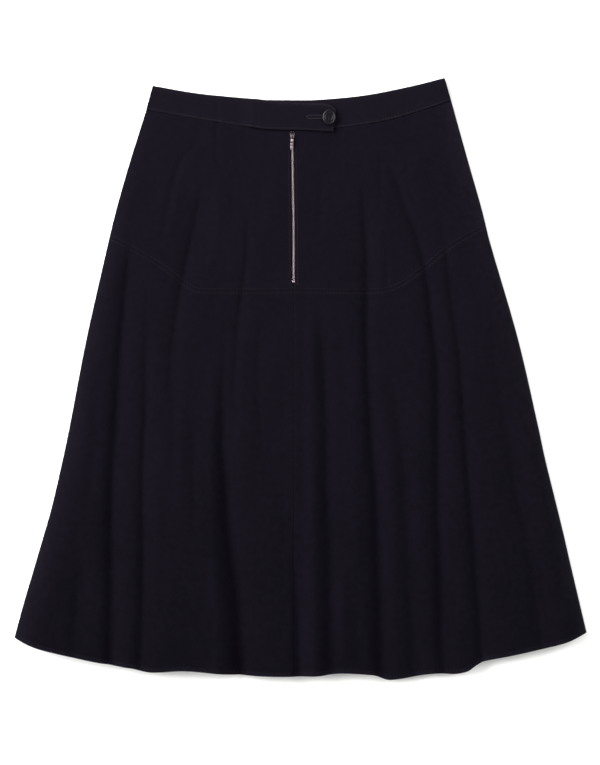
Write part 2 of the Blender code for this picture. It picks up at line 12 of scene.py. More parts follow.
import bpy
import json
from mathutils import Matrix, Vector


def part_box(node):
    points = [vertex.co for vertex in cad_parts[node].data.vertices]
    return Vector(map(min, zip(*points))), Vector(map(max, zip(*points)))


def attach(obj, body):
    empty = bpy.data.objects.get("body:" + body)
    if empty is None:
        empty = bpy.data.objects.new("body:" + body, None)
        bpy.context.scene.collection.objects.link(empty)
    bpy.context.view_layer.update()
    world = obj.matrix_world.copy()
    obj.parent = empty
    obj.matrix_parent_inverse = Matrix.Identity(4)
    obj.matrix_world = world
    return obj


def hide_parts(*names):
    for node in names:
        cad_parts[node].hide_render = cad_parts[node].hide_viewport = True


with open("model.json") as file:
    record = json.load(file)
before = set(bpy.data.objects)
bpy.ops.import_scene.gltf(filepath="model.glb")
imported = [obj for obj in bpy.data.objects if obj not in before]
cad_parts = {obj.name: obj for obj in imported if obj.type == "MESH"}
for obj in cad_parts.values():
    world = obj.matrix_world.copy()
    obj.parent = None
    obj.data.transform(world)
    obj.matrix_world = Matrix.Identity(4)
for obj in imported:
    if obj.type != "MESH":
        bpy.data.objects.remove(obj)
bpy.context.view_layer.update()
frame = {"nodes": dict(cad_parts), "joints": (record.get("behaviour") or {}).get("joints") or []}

import json
import math
from collections import namedtuple

import bmesh
import bpy
import numpy as np
from mathutils import Matrix, Vector, noise

bpy.ops.object.select_all(action="DESELECT")
MM = 0.001
SUEDE = 1.2
BAND = 2.4
GAP = 0.3


def in_metres(x, y, z):
    return Vector((x, y, z)) * MM


print("nodes of the frame:", sorted(frame["nodes"]))

# %% [markdown]
# ## The camera
#
# The photo looks straight down on the skirt, from far enough away that nothing is drawn in
# perspective. A pixel of it covers the same 1.263 mm everywhere, which is what the zip, the button
# and the waistband agree on. The lens follows from that size, so the skirt needs no fitting.

# %% Camera
PIXEL = 1.263
PICTURE_HIGH = 765
PICTURE_MIDDLE = (-0.95, -4.67)
CAMERA_HEIGHT = 3500
FOLD_LEVEL = 7
CAMERA_SEES = 20  # metres

bpy.ops.object.camera_add(location=in_metres(*PICTURE_MIDDLE, CAMERA_HEIGHT), rotation=(0, 0, 0))
camera = bpy.context.object
camera.name = "camera"
camera.data.lens = camera.data.sensor_width * (CAMERA_HEIGHT - FOLD_LEVEL) / (PICTURE_HIGH * PIXEL)
camera.data.clip_end = CAMERA_SEES
bpy.context.scene.camera = camera
print(f"lens: {camera.data.lens:.1f} mm")

# %% [markdown]
# ## Lines through a few points
#
# Every edge of the skirt is a smooth line through a few measured places, the way a pattern cutter
# draws round a curve. One helper turns a short table into such a line. It takes whole arrays of
# places at once, because the cloth has tens of thousands of points.

# %% Smooth lines
def smoothly(share):
    """0 below 0 and 1 above 1, with an easy start and end."""
    share = np.clip(share, 0, 1)
    return share * share * (3 - 2 * share)


def curve_through(rows):
    """A smooth function through (at, value) rows, straight beyond the first and the last."""
    at, value = np.array(sorted(tuple(row) for row in rows), float).T
    last = len(at) - 1
    before, after = np.maximum(np.arange(last + 1) - 1, 0), np.minimum(np.arange(last + 1) + 1, last)
    slope = (value[after] - value[before]) / (at[after] - at[before])

    def read(x):
        x = np.asarray(x, float)
        i = np.clip(np.searchsorted(at, x, side="right") - 1, 0, last - 1)
        span = at[i + 1] - at[i]
        t = np.clip((x - at[i]) / span, 0, 1)
        inside = value[i] + (value[i + 1] - value[i]) * t * t * (3 - 2 * t)
        inside += t * (1 - t) * span * (slope[i] * (1 - t) - slope[i + 1] * t)
        beyond = slope[0] * np.minimum(x - at[0], 0) + slope[last] * np.maximum(x - at[last], 0)
        return inside + beyond

    return read


# %% [markdown]
# ## The skirt's edges and seams
#
# These are the driving lines of the garment: its side seams, its hem in front and behind, the
# curved seam under the yoke, and the waistband's edges. They are the same tables that the solid
# model was cut from, so a fine panel ends exactly where its plain one did.

# %% Edges and seams
SideRow = namedtuple("SideRow", "y right left")
SIDE_SEAMS = (
    SideRow(380, -184.9, 182),
    SideRow(352, -191.6, 190),
    SideRow(276, -215.1, 211),
    SideRow(215, -232.4, 228.2),
    SideRow(175, -242.1, 238),
    SideRow(49, -270.5, 274.3),
    SideRow(-60, -291.4, 299.4),
    SideRow(-103, -300.3, 308.6),
    SideRow(-165, -314.7, 323.9),
    SideRow(-200, -324.8, 332.4),
    SideRow(-229, -333.3, 339),
    SideRow(-290, -351.2, 353.3),
    SideRow(-328, -361.4, 362.3),
)
LineRow = namedtuple("LineRow", "x y")
FRONT_HEM = (
    LineRow(-361, -327.6), LineRow(-344, -335.9), LineRow(-324, -342.6), LineRow(-269, -355.4),
    LineRow(-223, -364), LineRow(-212, -365.5), LineRow(-202, -368.4), LineRow(-187, -370.4),
    LineRow(-147, -368.4), LineRow(-102, -372.1), LineRow(-41, -375.4), LineRow(19, -374.6),
    LineRow(52, -371.4), LineRow(91, -373.8), LineRow(99, -376.5), LineRow(110, -379.8),
    LineRow(121, -379.1), LineRow(166, -372.2), LineRow(194, -372.4), LineRow(204, -370.8),
    LineRow(212, -368.1), LineRow(221, -361.5), LineRow(231, -356.5), LineRow(277, -346.7),
    LineRow(333, -333.3), LineRow(361, -320.9),
)
BACK_HEM = (
    LineRow(-361, -326), LineRow(-269, -352), LineRow(-147, -365), LineRow(0, -370),
    LineRow(110, -368), LineRow(231, -352), LineRow(322, -333), LineRow(361, -318.5),
)
YOKE_SEAM = (
    LineRow(-242, 180), LineRow(-204, 160), LineRow(-173, 141), LineRow(-136, 114),
    LineRow(-110, 111), LineRow(0, 111), LineRow(95, 111), LineRow(122, 117),
    LineRow(153, 138), LineRow(190, 168), LineRow(236, 194.5),
)
RIGHT_BAND_TOP = (
    LineRow(-187, 370.5), LineRow(-132, 361), LineRow(-72, 355), LineRow(-55, 353.5),
    LineRow(-20, 349.5), LineRow(24, 348), LineRow(44, 347.5),
)
RIGHT_BAND_FOOT = (
    LineRow(-191, 339.5), LineRow(-115, 326), LineRow(-72, 319.6), LineRow(-48, 316),
    LineRow(-26, 314.8), LineRow(-1, 314.5), LineRow(41, 312.6),
)
LEFT_BAND_TOP = (
    LineRow(-54, 352.5), LineRow(-11, 352.3), LineRow(19, 352.6), LineRow(80, 358.3),
    LineRow(140, 370), LineRow(182, 380.5),
)
LEFT_BAND_FOOT = (
    LineRow(-54, 321), LineRow(-11, 315.2), LineRow(15, 314.8), LineRow(53, 317.9),
    LineRow(107, 326.4), LineRow(153, 339.6), LineRow(189, 352),
)
BACK_BAND_TOP = (
    LineRow(-187, 369), LineRow(-132, 359.5), LineRow(-55, 351.5), LineRow(19, 350.5),
    LineRow(80, 356.5), LineRow(140, 368), LineRow(182, 379),
)
BACK_BAND_FOOT = (
    LineRow(-191, 341), LineRow(-115, 327.5), LineRow(0, 319.5), LineRow(107, 329.5),
    LineRow(189, 353.5),
)

right_side = curve_through([(row.y, row.right) for row in SIDE_SEAMS])
left_side = curve_through([(row.y, row.left) for row in SIDE_SEAMS])
front_hem = curve_through(FRONT_HEM)
back_hem = curve_through(BACK_HEM)
yoke_seam = curve_through(YOKE_SEAM)
right_band_top = curve_through(RIGHT_BAND_TOP)
right_band_foot = curve_through(RIGHT_BAND_FOOT)
left_band_top = curve_through(LEFT_BAND_TOP)
left_band_foot = curve_through(LEFT_BAND_FOOT)
back_band_top = curve_through(BACK_BAND_TOP)
back_band_foot = curve_through(BACK_BAND_FOOT)

# %% The centre front, where the zip and the seam below it run
WAIST_Y = 313
HEM_Y = -376
CentreRow = namedtuple("CentreRow", "y x")
CENTRE_FRONT = (
    CentreRow(313, -10.7), CentreRow(270, -10.35), CentreRow(230, -9.75), CentreRow(190, -9.1),
    CentreRow(130, -9.05), CentreRow(-376, -8.8),
)
centre = curve_through(CENTRE_FRONT)


def moved(line, by):
    """The same line, moved up the skirt."""
    return lambda x: line(x) + by


print(f"flat hem: {SIDE_SEAMS[-1].left - SIDE_SEAMS[-1].right:.0f} mm wide")

# %% [markdown]
# ## The front as one soft height
#
# An a-line skirt has more cloth at its hem than at its waist. Laid flat, the spare cloth stands up
# in folds that start near the hips and grow towards the hem, with narrow furrows between them. A
# simulation would find folds of its own, and these have to be the ones in the photo, so the front
# is one height over the table: a crest that grows downwards, with a furrow taken out of it along
# each path in a table. Every front panel reads that same height, so the panels meet at their seams.

# %% Crest and folds
CrestRow = namedtuple("CrestRow", "y height")
CREST = (
    CrestRow(350, 0.6), CrestRow(290, 1.8), CrestRow(240, 3.2), CrestRow(200, 4.4),
    CrestRow(150, 5.8), CrestRow(112, 6.8), CrestRow(0, 9.5), CrestRow(-100, 12),
    CrestRow(-200, 14.2), CrestRow(-336, 16),
)
BAND_STAND = 0.9
BAND_STAND_DEEP = 40
ROLL_AT_WAIST = 13
ROLL_AT_HEM = 40
ROLL_SHAPE = 0.75
CENTRE_LIFT = 0.9
CENTRE_LIFT_WIDE = 55
CENTRE_LIFT_DEEP = 70

# starts, full and ends are heights up the skirt. depth and at_hem are the shares of the crest that
# a furrow takes away, and a ridge has negative ones. width and hem_width are how wide it is at the
# waist and at the hem. A path runs down the skirt as (y, x), along the wall that the light from
# the left leaves in shade, or on a ridge along its lit flank: that line is what the photo shows.
Fold = namedtuple("Fold", "name starts full ends depth at_hem width hem_width path")
THROUGH = -500
FOLDS = (
    Fold("right_1", 185, 130, THROUGH, 0.62, 0.55, 7, 11,
         ((185, -217), (150, -221), (100, -226), (20, -233), (-60, -238), (-140, -243),
          (-240, -244), (-345, -245))),
    Fold("right_2", 130, 0, THROUGH, 0.36, 0.40, 6, 9,
         ((130, -192), (100, -196), (20, -199), (-40, -199), (-120, -203), (-250, -203),
          (-345, -206))),
    Fold("right_3", 265, 205, -220, 0.55, 0.20, 6, 10,
         ((265, -125), (225, -131), (185, -139), (145, -148), (100, -157), (60, -163),
          (20, -167), (-60, -165), (-240, -168))),
    Fold("right_4", -40, -75, -230, 0.16, 0.16, 6, 8,
         ((-40, -138), (-100, -138), (-200, -138))),
    Fold("right_5", 110, -120, THROUGH, 0.62, 0.90, 5, 12,
         ((110, -98), (40, -100), (-40, -103), (-90, -103), (-130, -100), (-200, -96),
          (-280, -87), (-360, -83))),
    Fold("right_6", 225, 170, -190, 0.42, 0.30, 5, 8,
         ((225, -69), (160, -71), (120, -75), (80, -81), (40, -84), (-20, -87), (-100, -88),
          (-190, -85))),
    Fold("right_7", 90, 30, -140, 0.20, 0.20, 6, 8,
         ((90, -56), (20, -56), (-60, -55), (-130, -51))),
    Fold("right_8", -150, -290, THROUGH, 0.30, 0.45, 6, 8,
         ((-150, -10), (-230, -10), (-300, -8), (-370, -7))),
    Fold("right_side", -200, -270, THROUGH, 0.20, 0.20, 10, 12,
         ((-200, -280), (-290, -288), (-330, -292))),
    Fold("right_ridge", 20, -60, THROUGH, -0.12, -0.15, 7, 10,
         ((0, -114), (-150, -116), (-350, -108))),
    Fold("centre_ridge", 115, 20, THROUGH, -0.34, -0.38, 10, 13,
         ((110, 9), (-360, 11))),
    Fold("left_1", 120, 40, THROUGH, 0.34, 0.34, 7, 10,
         ((120, 19), (60, 21), (20, 25), (-60, 28), (-140, 28), (-220, 31), (-300, 31.5),
          (-370, 31.5))),
    Fold("left_2", 262, 215, THROUGH, 0.75, 0.62, 6, 11,
         ((262, 75), (200, 78), (140, 80), (60, 79), (0, 81), (-60, 84), (-100, 86),
          (-140, 90), (-220, 92), (-300, 94.5), (-370, 95.5))),
    Fold("left_3", 30, -60, THROUGH, 0.45, 0.50, 12, 18,
         ((30, 102), (0, 107), (-20, 111), (-60, 117), (-100, 122), (-160, 126), (-250, 130),
          (-340, 134))),
    Fold("left_4", 310, 250, THROUGH, 0.80, 0.60, 6, 11,
         ((310, 95), (285, 102), (258, 114), (235, 123), (215, 129), (185, 142), (150, 151),
          (110, 158), (60, 163), (20, 168), (-60, 169), (-160, 168), (-240, 171), (-320, 172),
          (-350, 174))),
    Fold("left_5", 262, 150, THROUGH, 0.50, 0.42, 6, 9,
         ((262, 167), (230, 169), (200, 174), (150, 182), (105, 187), (60, 193), (20, 198),
          (-60, 203), (-140, 209), (-180, 212), (-220, 215), (-300, 221), (-345, 224))),
    Fold("left_side", 130, 20, THROUGH, 0.25, 0.25, 9, 13,
         ((130, 231), (60, 238), (0, 243), (-60, 254), (-100, 261), (-140, 267), (-229, 284),
          (-336, 298))),
)
STEEP_WALL = 0.8
GENTLE_WALL = 1.3
FLOOR_FROM_PATH = 0.5  # a furrow's floor runs half its width past its path
crest = curve_through(CREST)
fold_paths = {fold.name: curve_through(fold.path) for fold in FOLDS}


def fold_depth(fold, y):
    """The share of the crest that a fold's furrow takes away at this height."""
    begun = smoothly((fold.starts - y) / (fold.starts - fold.full))
    end = HEM_Y if fold.ends == THROUGH else fold.ends
    gone = 0 if fold.ends == THROUGH else smoothly((fold.full - y) / (fold.full - end))
    down = np.clip((fold.full - y) / (fold.full - end), 0, 1)
    return (fold.depth + (fold.at_hem - fold.depth) * down) * begun * (1 - gone)


def from_side(x, y):
    """How far a place is inside the nearer side seam."""
    return np.minimum(x - right_side(y), left_side(y) - x)


def folded_front(x, y):
    """How high the inner face of the front stands over the back, by its main folds alone."""
    down = np.clip((WAIST_Y - y) / (WAIST_Y - HEM_Y), 0, 1)
    roll = ROLL_AT_WAIST + (ROLL_AT_HEM - ROLL_AT_WAIST) * down
    share = np.clip(from_side(x, y) / roll, 0, 1)
    stand = crest(y) * (share * (2 - share)) ** ROLL_SHAPE
    for fold in FOLDS:
        width = fold.width + (fold.hem_width - fold.width) * down
        away = (x - fold_paths[fold.name](y)) / width - FLOOR_FROM_PATH
        away = np.where(away < 0, away / STEEP_WALL, away / GENTLE_WALL)
        stand = stand * (1 - fold_depth(fold, y) / (1 + away * away))
    beside = smoothly(1 - abs(x - centre(y)) / CENTRE_LIFT_WIDE)
    below = smoothly(1 - (WAIST_Y - y) / CENTRE_LIFT_DEEP)
    to_band = smoothly(1 - (back_band_foot(x) - y) / BAND_STAND_DEEP)
    return stand + BAND_STAND * to_band + CENTRE_LIFT * beside * below


# %% [markdown]
# ## Creases and seams
#
# Soft suede never falls in clean folds. Between them it has shallow troughs and ridges of uneven
# length, a few pulls that run down from the waistband, and a slow ripple all over. The troughs and
# ridges are listed, a row for each. Along a seam the turned allowance lies under the cloth
# and lifts it a little, and the stitching gathers it into small puckers.

# %% Creases, one by one
# A crease runs down its path of (y, x) places, and is deepest, or highest, half way along it.
Crease = namedtuple("Crease", "rise width path")
Ripple = namedtuple("Ripple", "rise across along seed")
CREASE_FULLNESS = 0.7  # under 1, so that a crease is near its full depth for most of its length
CREASES = (
    Crease(-1.2, 5, ((322, -130), (300, -131), (278, -150), (258, -158), (230, -165), (200, -170),
                     (165, -176))),
    Crease(-1.4, 4, ((342, -106), (300, -106), (268, -105))),
    Crease(0.9, 7, ((268, -103), (230, -103), (160, -110), (130, -118))),
    Crease(-0.8, 10, ((262, -86), (150, -82))),
    Crease(-0.6, 6, ((264, -49), (172, -54))),
    Crease(-0.8, 5, ((270, 26), (180, 24))),
    Crease(-0.8, 4, ((300, 98), (260, 101), (205, 100))),
    Crease(-1.0, 4, ((165, 108), (108, 110))),
    Crease(0.5, 8, ((302, 138), (224, 161))),
    Crease(-0.5, 7, ((315, 178), (238, 204))),
    Crease(-0.9, 8, ((20, -255), (-190, -268))),
    Crease(0.9, 6, ((-20, -150), (-140, -151))),
    Crease(0.9, 8, ((-100, -180), (-300, -184))),
    Crease(-0.8, 7, ((60, 52), (-60, 56))),
    Crease(0.9, 8, ((-80, 66), (-260, 72))),
    Crease(1.2, 6, ((-230, 50), (-370, 54))),
    Crease(-1.3, 8, ((-255, 66), (-374, 74))),
    Crease(0.9, 8, ((-40, 146), (-240, 150))),
    Crease(1.0, 8, ((-200, 200), (-330, 208))),
    Crease(-0.7, 9, ((60, 260), (-40, 275))),
    Crease(0.8, 10, ((-60, 285), (-280, 325))),
    Crease(0.8, 10, ((-80, -300), (-280, -328))),
)


def crease_rise(x, y, creases=CREASES):
    """How far the creases raise or lower the cloth at each place."""
    rise = np.zeros_like(np.asarray(x, float))
    for crease in creases:
        top, foot = crease.path[0][0], crease.path[-1][0]
        swell = np.sin(math.pi * np.clip((top - y) / (top - foot), 0, 1)) ** CREASE_FULLNESS
        off = (x - curve_through(crease.path)(y)) / crease.width
        rise += crease.rise * swell * np.exp(-off * off)
    return rise


def ripple(x, y, row):
    """A slow, uneven rise and fall, longer down the cloth than across it."""
    shape = np.broadcast(x, y).shape
    places = zip(*(np.broadcast_to(a, shape).ravel() for a in (x, y)))
    waves = [noise.noise(Vector((a / row.across, b / row.along, row.seed))) for a, b in places]
    return row.rise * np.array(waves).reshape(shape)


# %% Seams lift and gather the cloth
ALLOWANCE = 8
ALLOWANCE_RISE = 0.45
ALLOWANCE_FLAT = 0.6  # the share of the allowance that lies at its full height
PUCKER_REACH = 9
LOOSE_FROM = 3  # cloth that stands less than this over the back is calmed by it
PUCKERS = Ripple(0.16, 5, 15, 3.7)
RIPPLES = (Ripple(0.5, 42, 120, 1.3), Ripple(0.12, 13, 34, 8.1))


def seam_rise(x, y):
    """The allowances under the yoke seam and the centre front seam, and the puckers by the seams."""
    to_yoke = abs(y - yoke_seam(x))
    to_centre = np.where(y < yoke_seam(x), abs(x - centre(y)), 2 * ALLOWANCE)
    to_band = abs(np.where(x < 0, right_band_foot(x), left_band_foot(x)) - y)
    fall = 1 + ALLOWANCE_FLAT
    lift = np.maximum(smoothly(fall - to_yoke / ALLOWANCE), smoothly(fall - to_centre / ALLOWANCE))
    near = np.exp(-np.minimum(np.minimum(to_yoke, to_band), to_centre) / PUCKER_REACH)
    return ALLOWANCE_RISE * lift + near * ripple(x, y, PUCKERS)


def front_height(x, y):
    """The inner face of the front, with its folds, creases, seams and ripple."""
    stand = folded_front(x, y)
    loose = np.clip(stand / LOOSE_FROM, 0, 1)
    fine = crease_rise(x, y) + seam_rise(x, y)
    for row in RIPPLES:
        fine = fine + ripple(x, y, row)
    return SUEDE + GAP + np.maximum(stand + fine * loose, 0)


def lift_from(height, wall, x, y, step=0.5):
    """The outer face over an inner face, and its slopes across and up the skirt."""
    across = (height(x + step, y) - height(x - step, y)) / (2 * step)
    up = (height(x, y + step) - height(x, y - step)) / (2 * step)
    return height(x, y) + wall * np.sqrt(1 + across * across + up * up), across, up


print(f"highest fold: {folded_front(np.linspace(-300, 300, 600), -330).max():.1f} mm over the back")

# %% [markdown]
# ## From a grid to a piece of cloth
#
# A cloth panel is a grid of points with a wall above them. The grid is made in code, because each
# point's height is worked out, and the wall and its rounded cut edge come from Blender's Solidify
# and Bevel modifiers, applied at once. Each point also remembers how near it is to a cut edge or a
# seam, in an attribute named rim, for the paler line that the suede shows there: partly rubbed nap,
# partly a painted highlight where the light catches the edge.

# %% Cloth helpers
EDGE = 0.3
EDGE_STEPS = 2
CUT_EDGE_ANGLE = 55  # degrees: only a cut edge turns this sharply, and no fold does
SEAM_GAP = 0.08


def only(thing):
    """Selects this object alone, and makes it the active one."""
    bpy.ops.object.select_all(action="DESELECT")
    thing.select_set(True)
    bpy.context.view_layer.objects.active = thing


def apply_modifiers(thing):
    only(thing)
    for modifier in list(thing.modifiers):
        bpy.ops.object.modifier_apply(modifier=modifier.name)


def triangles(thing):
    return sum(len(face.vertices) - 2 for face in thing.data.polygons)


def cloth(name, x, y, z, wall, finish, rim, offset=1.0):
    """A closed sheet over a grid of points, with rounded edges. Rows run down the skirt."""
    rows, columns = x.shape
    points = np.stack([x, y, z], axis=-1).reshape(-1, 3) * MM
    number = np.arange(rows * columns).reshape(rows, columns)
    corners = (number[1:, :-1], number[1:, 1:], number[:-1, 1:], number[:-1, :-1])
    faces = np.stack(corners, axis=-1).reshape(-1, 4)
    mesh = bpy.data.meshes.new(name)
    mesh.from_pydata(points.tolist(), [], faces.tolist())
    worn = mesh.attributes.new("rim", "FLOAT", "POINT")
    worn.data.foreach_set("value", rim.astype(np.float32).ravel())
    sheet = bpy.data.objects.new(name, mesh)
    bpy.context.scene.collection.objects.link(sheet)
    thickness = sheet.modifiers.new("Wall", "SOLIDIFY")
    thickness.thickness = wall * MM
    thickness.offset = offset
    thickness.use_even_offset = True
    rounding = sheet.modifiers.new("Edge", "BEVEL")
    rounding.width = EDGE * MM
    rounding.segments = EDGE_STEPS
    rounding.limit_method = "ANGLE"
    rounding.angle_limit = math.radians(CUT_EDGE_ANGLE)
    apply_modifiers(sheet)
    sheet.data.shade_smooth()
    sheet.data.materials.append(finish)
    return sheet


# %% [markdown]
# ## Suede, with one nap and painted light for all of it
#
# Suede is leather with its fibres brushed up. It hardly shines. What the eye reads is the nap: soft
# mottling where it was stroked one way or the other, and a fine grain. Two effects of light are
# painted into the same colour as well. Along cut edges, seams and the waistband's fold runs a paler
# line, partly rubbed nap and partly a painted highlight where the light catches the edge. A painted
# light falloff makes the suede a little lighter towards the waist than at the hem. The skirt's panels
# and its waistband share all this with values of their own, so it is one node group. The colour is
# very dark: a navy that leans to aubergine.

# %% Node helpers
MIX_FIRST, MIX_SECOND, MIX_RESULT = 6, 7, 2  # a Mix node's sockets for colours


def put(tree, kind, settings=(), **sockets):
    """Adds a node, with its settings and the values of its input sockets."""
    made = tree.nodes.new(kind)
    for key, value in dict(settings).items():
        setattr(made, key, value)
    for key, value in sockets.items():
        made.inputs[key.replace("_", " ")].default_value = value
    return made


def join(tree, source, output, target, entry):
    tree.links.new(source.outputs[output], target.inputs[entry])


def calculate(tree, operation, first, second):
    """A Math node on two values, each a number or a (node, output) pair."""
    made = put(tree, "ShaderNodeMath", {"operation": operation})
    for k, value in enumerate((first, second)):
        if isinstance(value, tuple):
            tree.links.new(value[0].outputs[value[1]], made.inputs[k])
        else:
            made.inputs[k].default_value = value
    return made


def mix_colours(tree, share, first, second):
    """A Mix node of two colours by a share. The share is a (node, output) pair, and a colour is
    one too, or three numbers."""
    made = put(tree, "ShaderNodeMix", {"data_type": "RGBA"})
    join(tree, *share, made, 0)
    for entry, colour in ((MIX_FIRST, first), (MIX_SECOND, second)):
        if len(colour) == 2:
            join(tree, *colour, made, entry)
        else:
            made.inputs[entry].default_value = (*colour, 1)
    return made


def new_group(name, inputs, outputs):
    """A shader node group whose inputs and outputs are (name, kind, value) rows."""
    group = bpy.data.node_groups.new(name, "ShaderNodeTree")
    for label, kind, value in inputs:
        socket = group.interface.new_socket(name=label, in_out="INPUT", socket_type=kind)
        socket.default_value = value
    for label, kind in outputs:
        group.interface.new_socket(name=label, in_out="OUTPUT", socket_type=kind)
    return group, group.nodes.new("NodeGroupInput"), group.nodes.new("NodeGroupOutput")


def new_material(name, roughness, metallic=0.0, specular=0.5):
    """A material with its shader, and the bump that every finish here has."""
    made = bpy.data.materials.new(name)
    made.use_nodes = True
    tree = made.node_tree
    shader = tree.nodes["Principled BSDF"]
    shader.inputs["Roughness"].default_value = roughness
    shader.inputs["Metallic"].default_value = metallic
    shader.inputs["Specular IOR Level"].default_value = specular
    bump = put(tree, "ShaderNodeBump")
    join(tree, bump, "Normal", shader, "Normal")
    place = put(tree, "ShaderNodeTexCoord")
    return made, tree, shader, bump, place


# %% The nap group
FLOAT, COLOUR, VECTOR = "NodeSocketFloat", "NodeSocketColor", "NodeSocketVector"
# Painted light falloff: how much lighter the suede's colour gets for each metre up the skirt,
# standing in for light that is stronger near the waist
PAINTED_LIGHT_PER_METRE = 0.9  # for each metre up the skirt
NOISE_MIDDLE = 0.5
BLOTCH_HEIGHT = 0.6
nap, nap_in, nap_out = new_group(
    "suede nap and painted light",
    [("Place", VECTOR, (0, 0, 0)), ("Dark", COLOUR, (0, 0, 0, 1)), ("Light", COLOUR, (1, 1, 1, 1)),
     ("Rubbed and highlight", COLOUR, (1, 1, 1, 1)), ("Rim", FLOAT, 0.0), ("Mottling", FLOAT, 1.0)],
    [("Colour", COLOUR), ("Height", FLOAT)],
)
brushed = put(nap, "ShaderNodeMapping", Scale=(1.0, 0.4, 1.0))
join(nap, nap_in, "Place", brushed, "Vector")
strokes = put(nap, "ShaderNodeTexNoise", Scale=24.0, Detail=4.0, Roughness=0.6)
blotches = put(nap, "ShaderNodeTexNoise", Scale=140.0, Detail=2.0, Roughness=0.5)
fibres = put(nap, "ShaderNodeTexNoise", Scale=900.0, Detail=3.0, Roughness=0.7)
join(nap, brushed, "Vector", strokes, "Vector")
join(nap, nap_in, "Place", blotches, "Vector")
join(nap, nap_in, "Place", fibres, "Vector")
soft = calculate(nap, "ADD", (strokes, "Fac"), (blotches, "Fac"))
soft = calculate(nap, "SUBTRACT", (soft, 0), 2 * NOISE_MIDDLE)
soft = calculate(nap, "MULTIPLY", (soft, 0), (nap_in, "Mottling"))
grain = calculate(nap, "SUBTRACT", (fibres, "Fac"), NOISE_MIDDLE)
tone = calculate(nap, "ADD", (soft, 0), (grain, 0))
tone = calculate(nap, "ADD", (tone, 0), NOISE_MIDDLE)
along = put(nap, "ShaderNodeSeparateXYZ")
join(nap, nap_in, "Place", along, "Vector")
# Painted light falloff: lighter towards the waist, darker towards the hem
painted_light_falloff = calculate(nap, "MULTIPLY", (along, "Y"), PAINTED_LIGHT_PER_METRE)
tone = calculate(nap, "ADD", (tone, 0), (painted_light_falloff, 0))
tone.use_clamp = True
shade = mix_colours(nap, (tone, 0), (nap_in, "Dark"), (nap_in, "Light"))
# A paler line along cut edges and the waistband's fold: partly rubbed nap, partly a painted highlight
# where the light catches the edge
edge_rub_and_highlight = calculate(nap, "MULTIPLY", (nap_in, "Rim"), (blotches, "Fac"))
with_edge_rub_and_highlight = mix_colours(nap, (edge_rub_and_highlight, 0), (shade, MIX_RESULT), (nap_in, "Rubbed and highlight"))
join(nap, with_edge_rub_and_highlight, MIX_RESULT, nap_out, "Colour")
coarse = calculate(nap, "MULTIPLY", (blotches, "Fac"), BLOTCH_HEIGHT)
height = calculate(nap, "ADD", (fibres, "Fac"), (coarse, 0))
join(nap, height, 0, nap_out, "Height")


# %% Suede for the panels and for the waistband
SHEEN = 0.015
SHEEN_ROUGHNESS = 0.45
SHEEN_TINT = (0.62, 0.55, 0.75, 1)
NAP_STRENGTH = 0.35
NAP_DEEP = 0.25


def suede_material(name, dark, light, rubbed_and_highlight_tone, mottling):
    made, tree, shader, bump, place = new_material(name, roughness=0.95, specular=0.03)
    shader.inputs["Sheen Weight"].default_value = SHEEN
    shader.inputs["Sheen Roughness"].default_value = SHEEN_ROUGHNESS
    shader.inputs["Sheen Tint"].default_value = SHEEN_TINT
    finish = put(tree, "ShaderNodeGroup", {"node_tree": nap})
    for label, value in (("Dark", dark), ("Light", light), ("Rubbed and highlight", rubbed_and_highlight_tone)):
        finish.inputs[label].default_value = (*value, 1)
    finish.inputs["Mottling"].default_value = mottling
    rim = put(tree, "ShaderNodeAttribute", {"attribute_name": "rim"})
    join(tree, place, "Object", finish, "Place")
    join(tree, rim, "Fac", finish, "Rim")
    join(tree, finish, "Colour", shader, "Base Color")
    join(tree, finish, "Height", bump, "Height")
    bump.inputs["Strength"].default_value = NAP_STRENGTH
    bump.inputs["Distance"].default_value = NAP_DEEP * MM
    return made


# The rubbed tone is the paler colour at the edges, partly rubbed nap and partly painted highlight
panel_suede = suede_material(
    "dark suede", dark=(0.0021, 0.0016, 0.0033), light=(0.0036, 0.0028, 0.0055),
    rubbed_and_highlight_tone=(0.0100, 0.0086, 0.0135), mottling=1.05)
band_suede = suede_material(
    "dark suede, waistband", dark=(0.0025, 0.0019, 0.0037), light=(0.0043, 0.0034, 0.0062),
    rubbed_and_highlight_tone=(0.0105, 0.0092, 0.0140), mottling=0.7)

# %% [markdown]
# ## The front panels
#
# A maker cuts four pieces for this front: a yoke and a flared skirt piece on each side. Each is the
# same kind of patch, between two lines across the skirt, a side seam and the centre front. The yoke
# pieces leave room for the zip and close below its foot, and the skirt pieces meet in a seam.

# %% Cut the front
ZIP_OPENING = 5.2
OPEN_DOWN_TO = 120.6
CLOSED_FROM = 116.5
SKIRT_GRID = (232, 158)
YOKE_GRID = (120, 128)
RIM_REACH = 2.2
SEAM_RIM = 0.08
# The sides' share of the paler edge line is a painted highlight: strong on the wearer's left side and
# weak on the right, standing in for light grazing the outer slope there
RIGHT_RIM = 0.25
LEFT_RIM = 1.0
SIDE_REACH = 9
CROSSING_ROUNDS = 30  # far more than two lines need to settle on where they cross


def on_line(line_x, line_y):
    """The height at which columns cross a line over the skirt."""
    y = np.zeros_like(line_x(0.0))
    for _ in range(CROSSING_ROUNDS):
        y = line_y(line_x(y))
    return y


def patch(upper, lower, start_x, end_x, grid):
    """The x and y of a grid between two lines across and two edges down the skirt."""
    rows, columns = grid
    share = np.linspace(0, 1, columns + 1)

    def column_x(y):
        return start_x(y) + (end_x(y) - start_x(y)) * share

    top, foot = on_line(column_x, upper), on_line(column_x, lower)
    down = np.linspace(0, 1, rows + 1)[:, None]
    y = top + (foot - top) * down
    x = start_x(y) + (end_x(y) - start_x(y)) * share
    return x, y


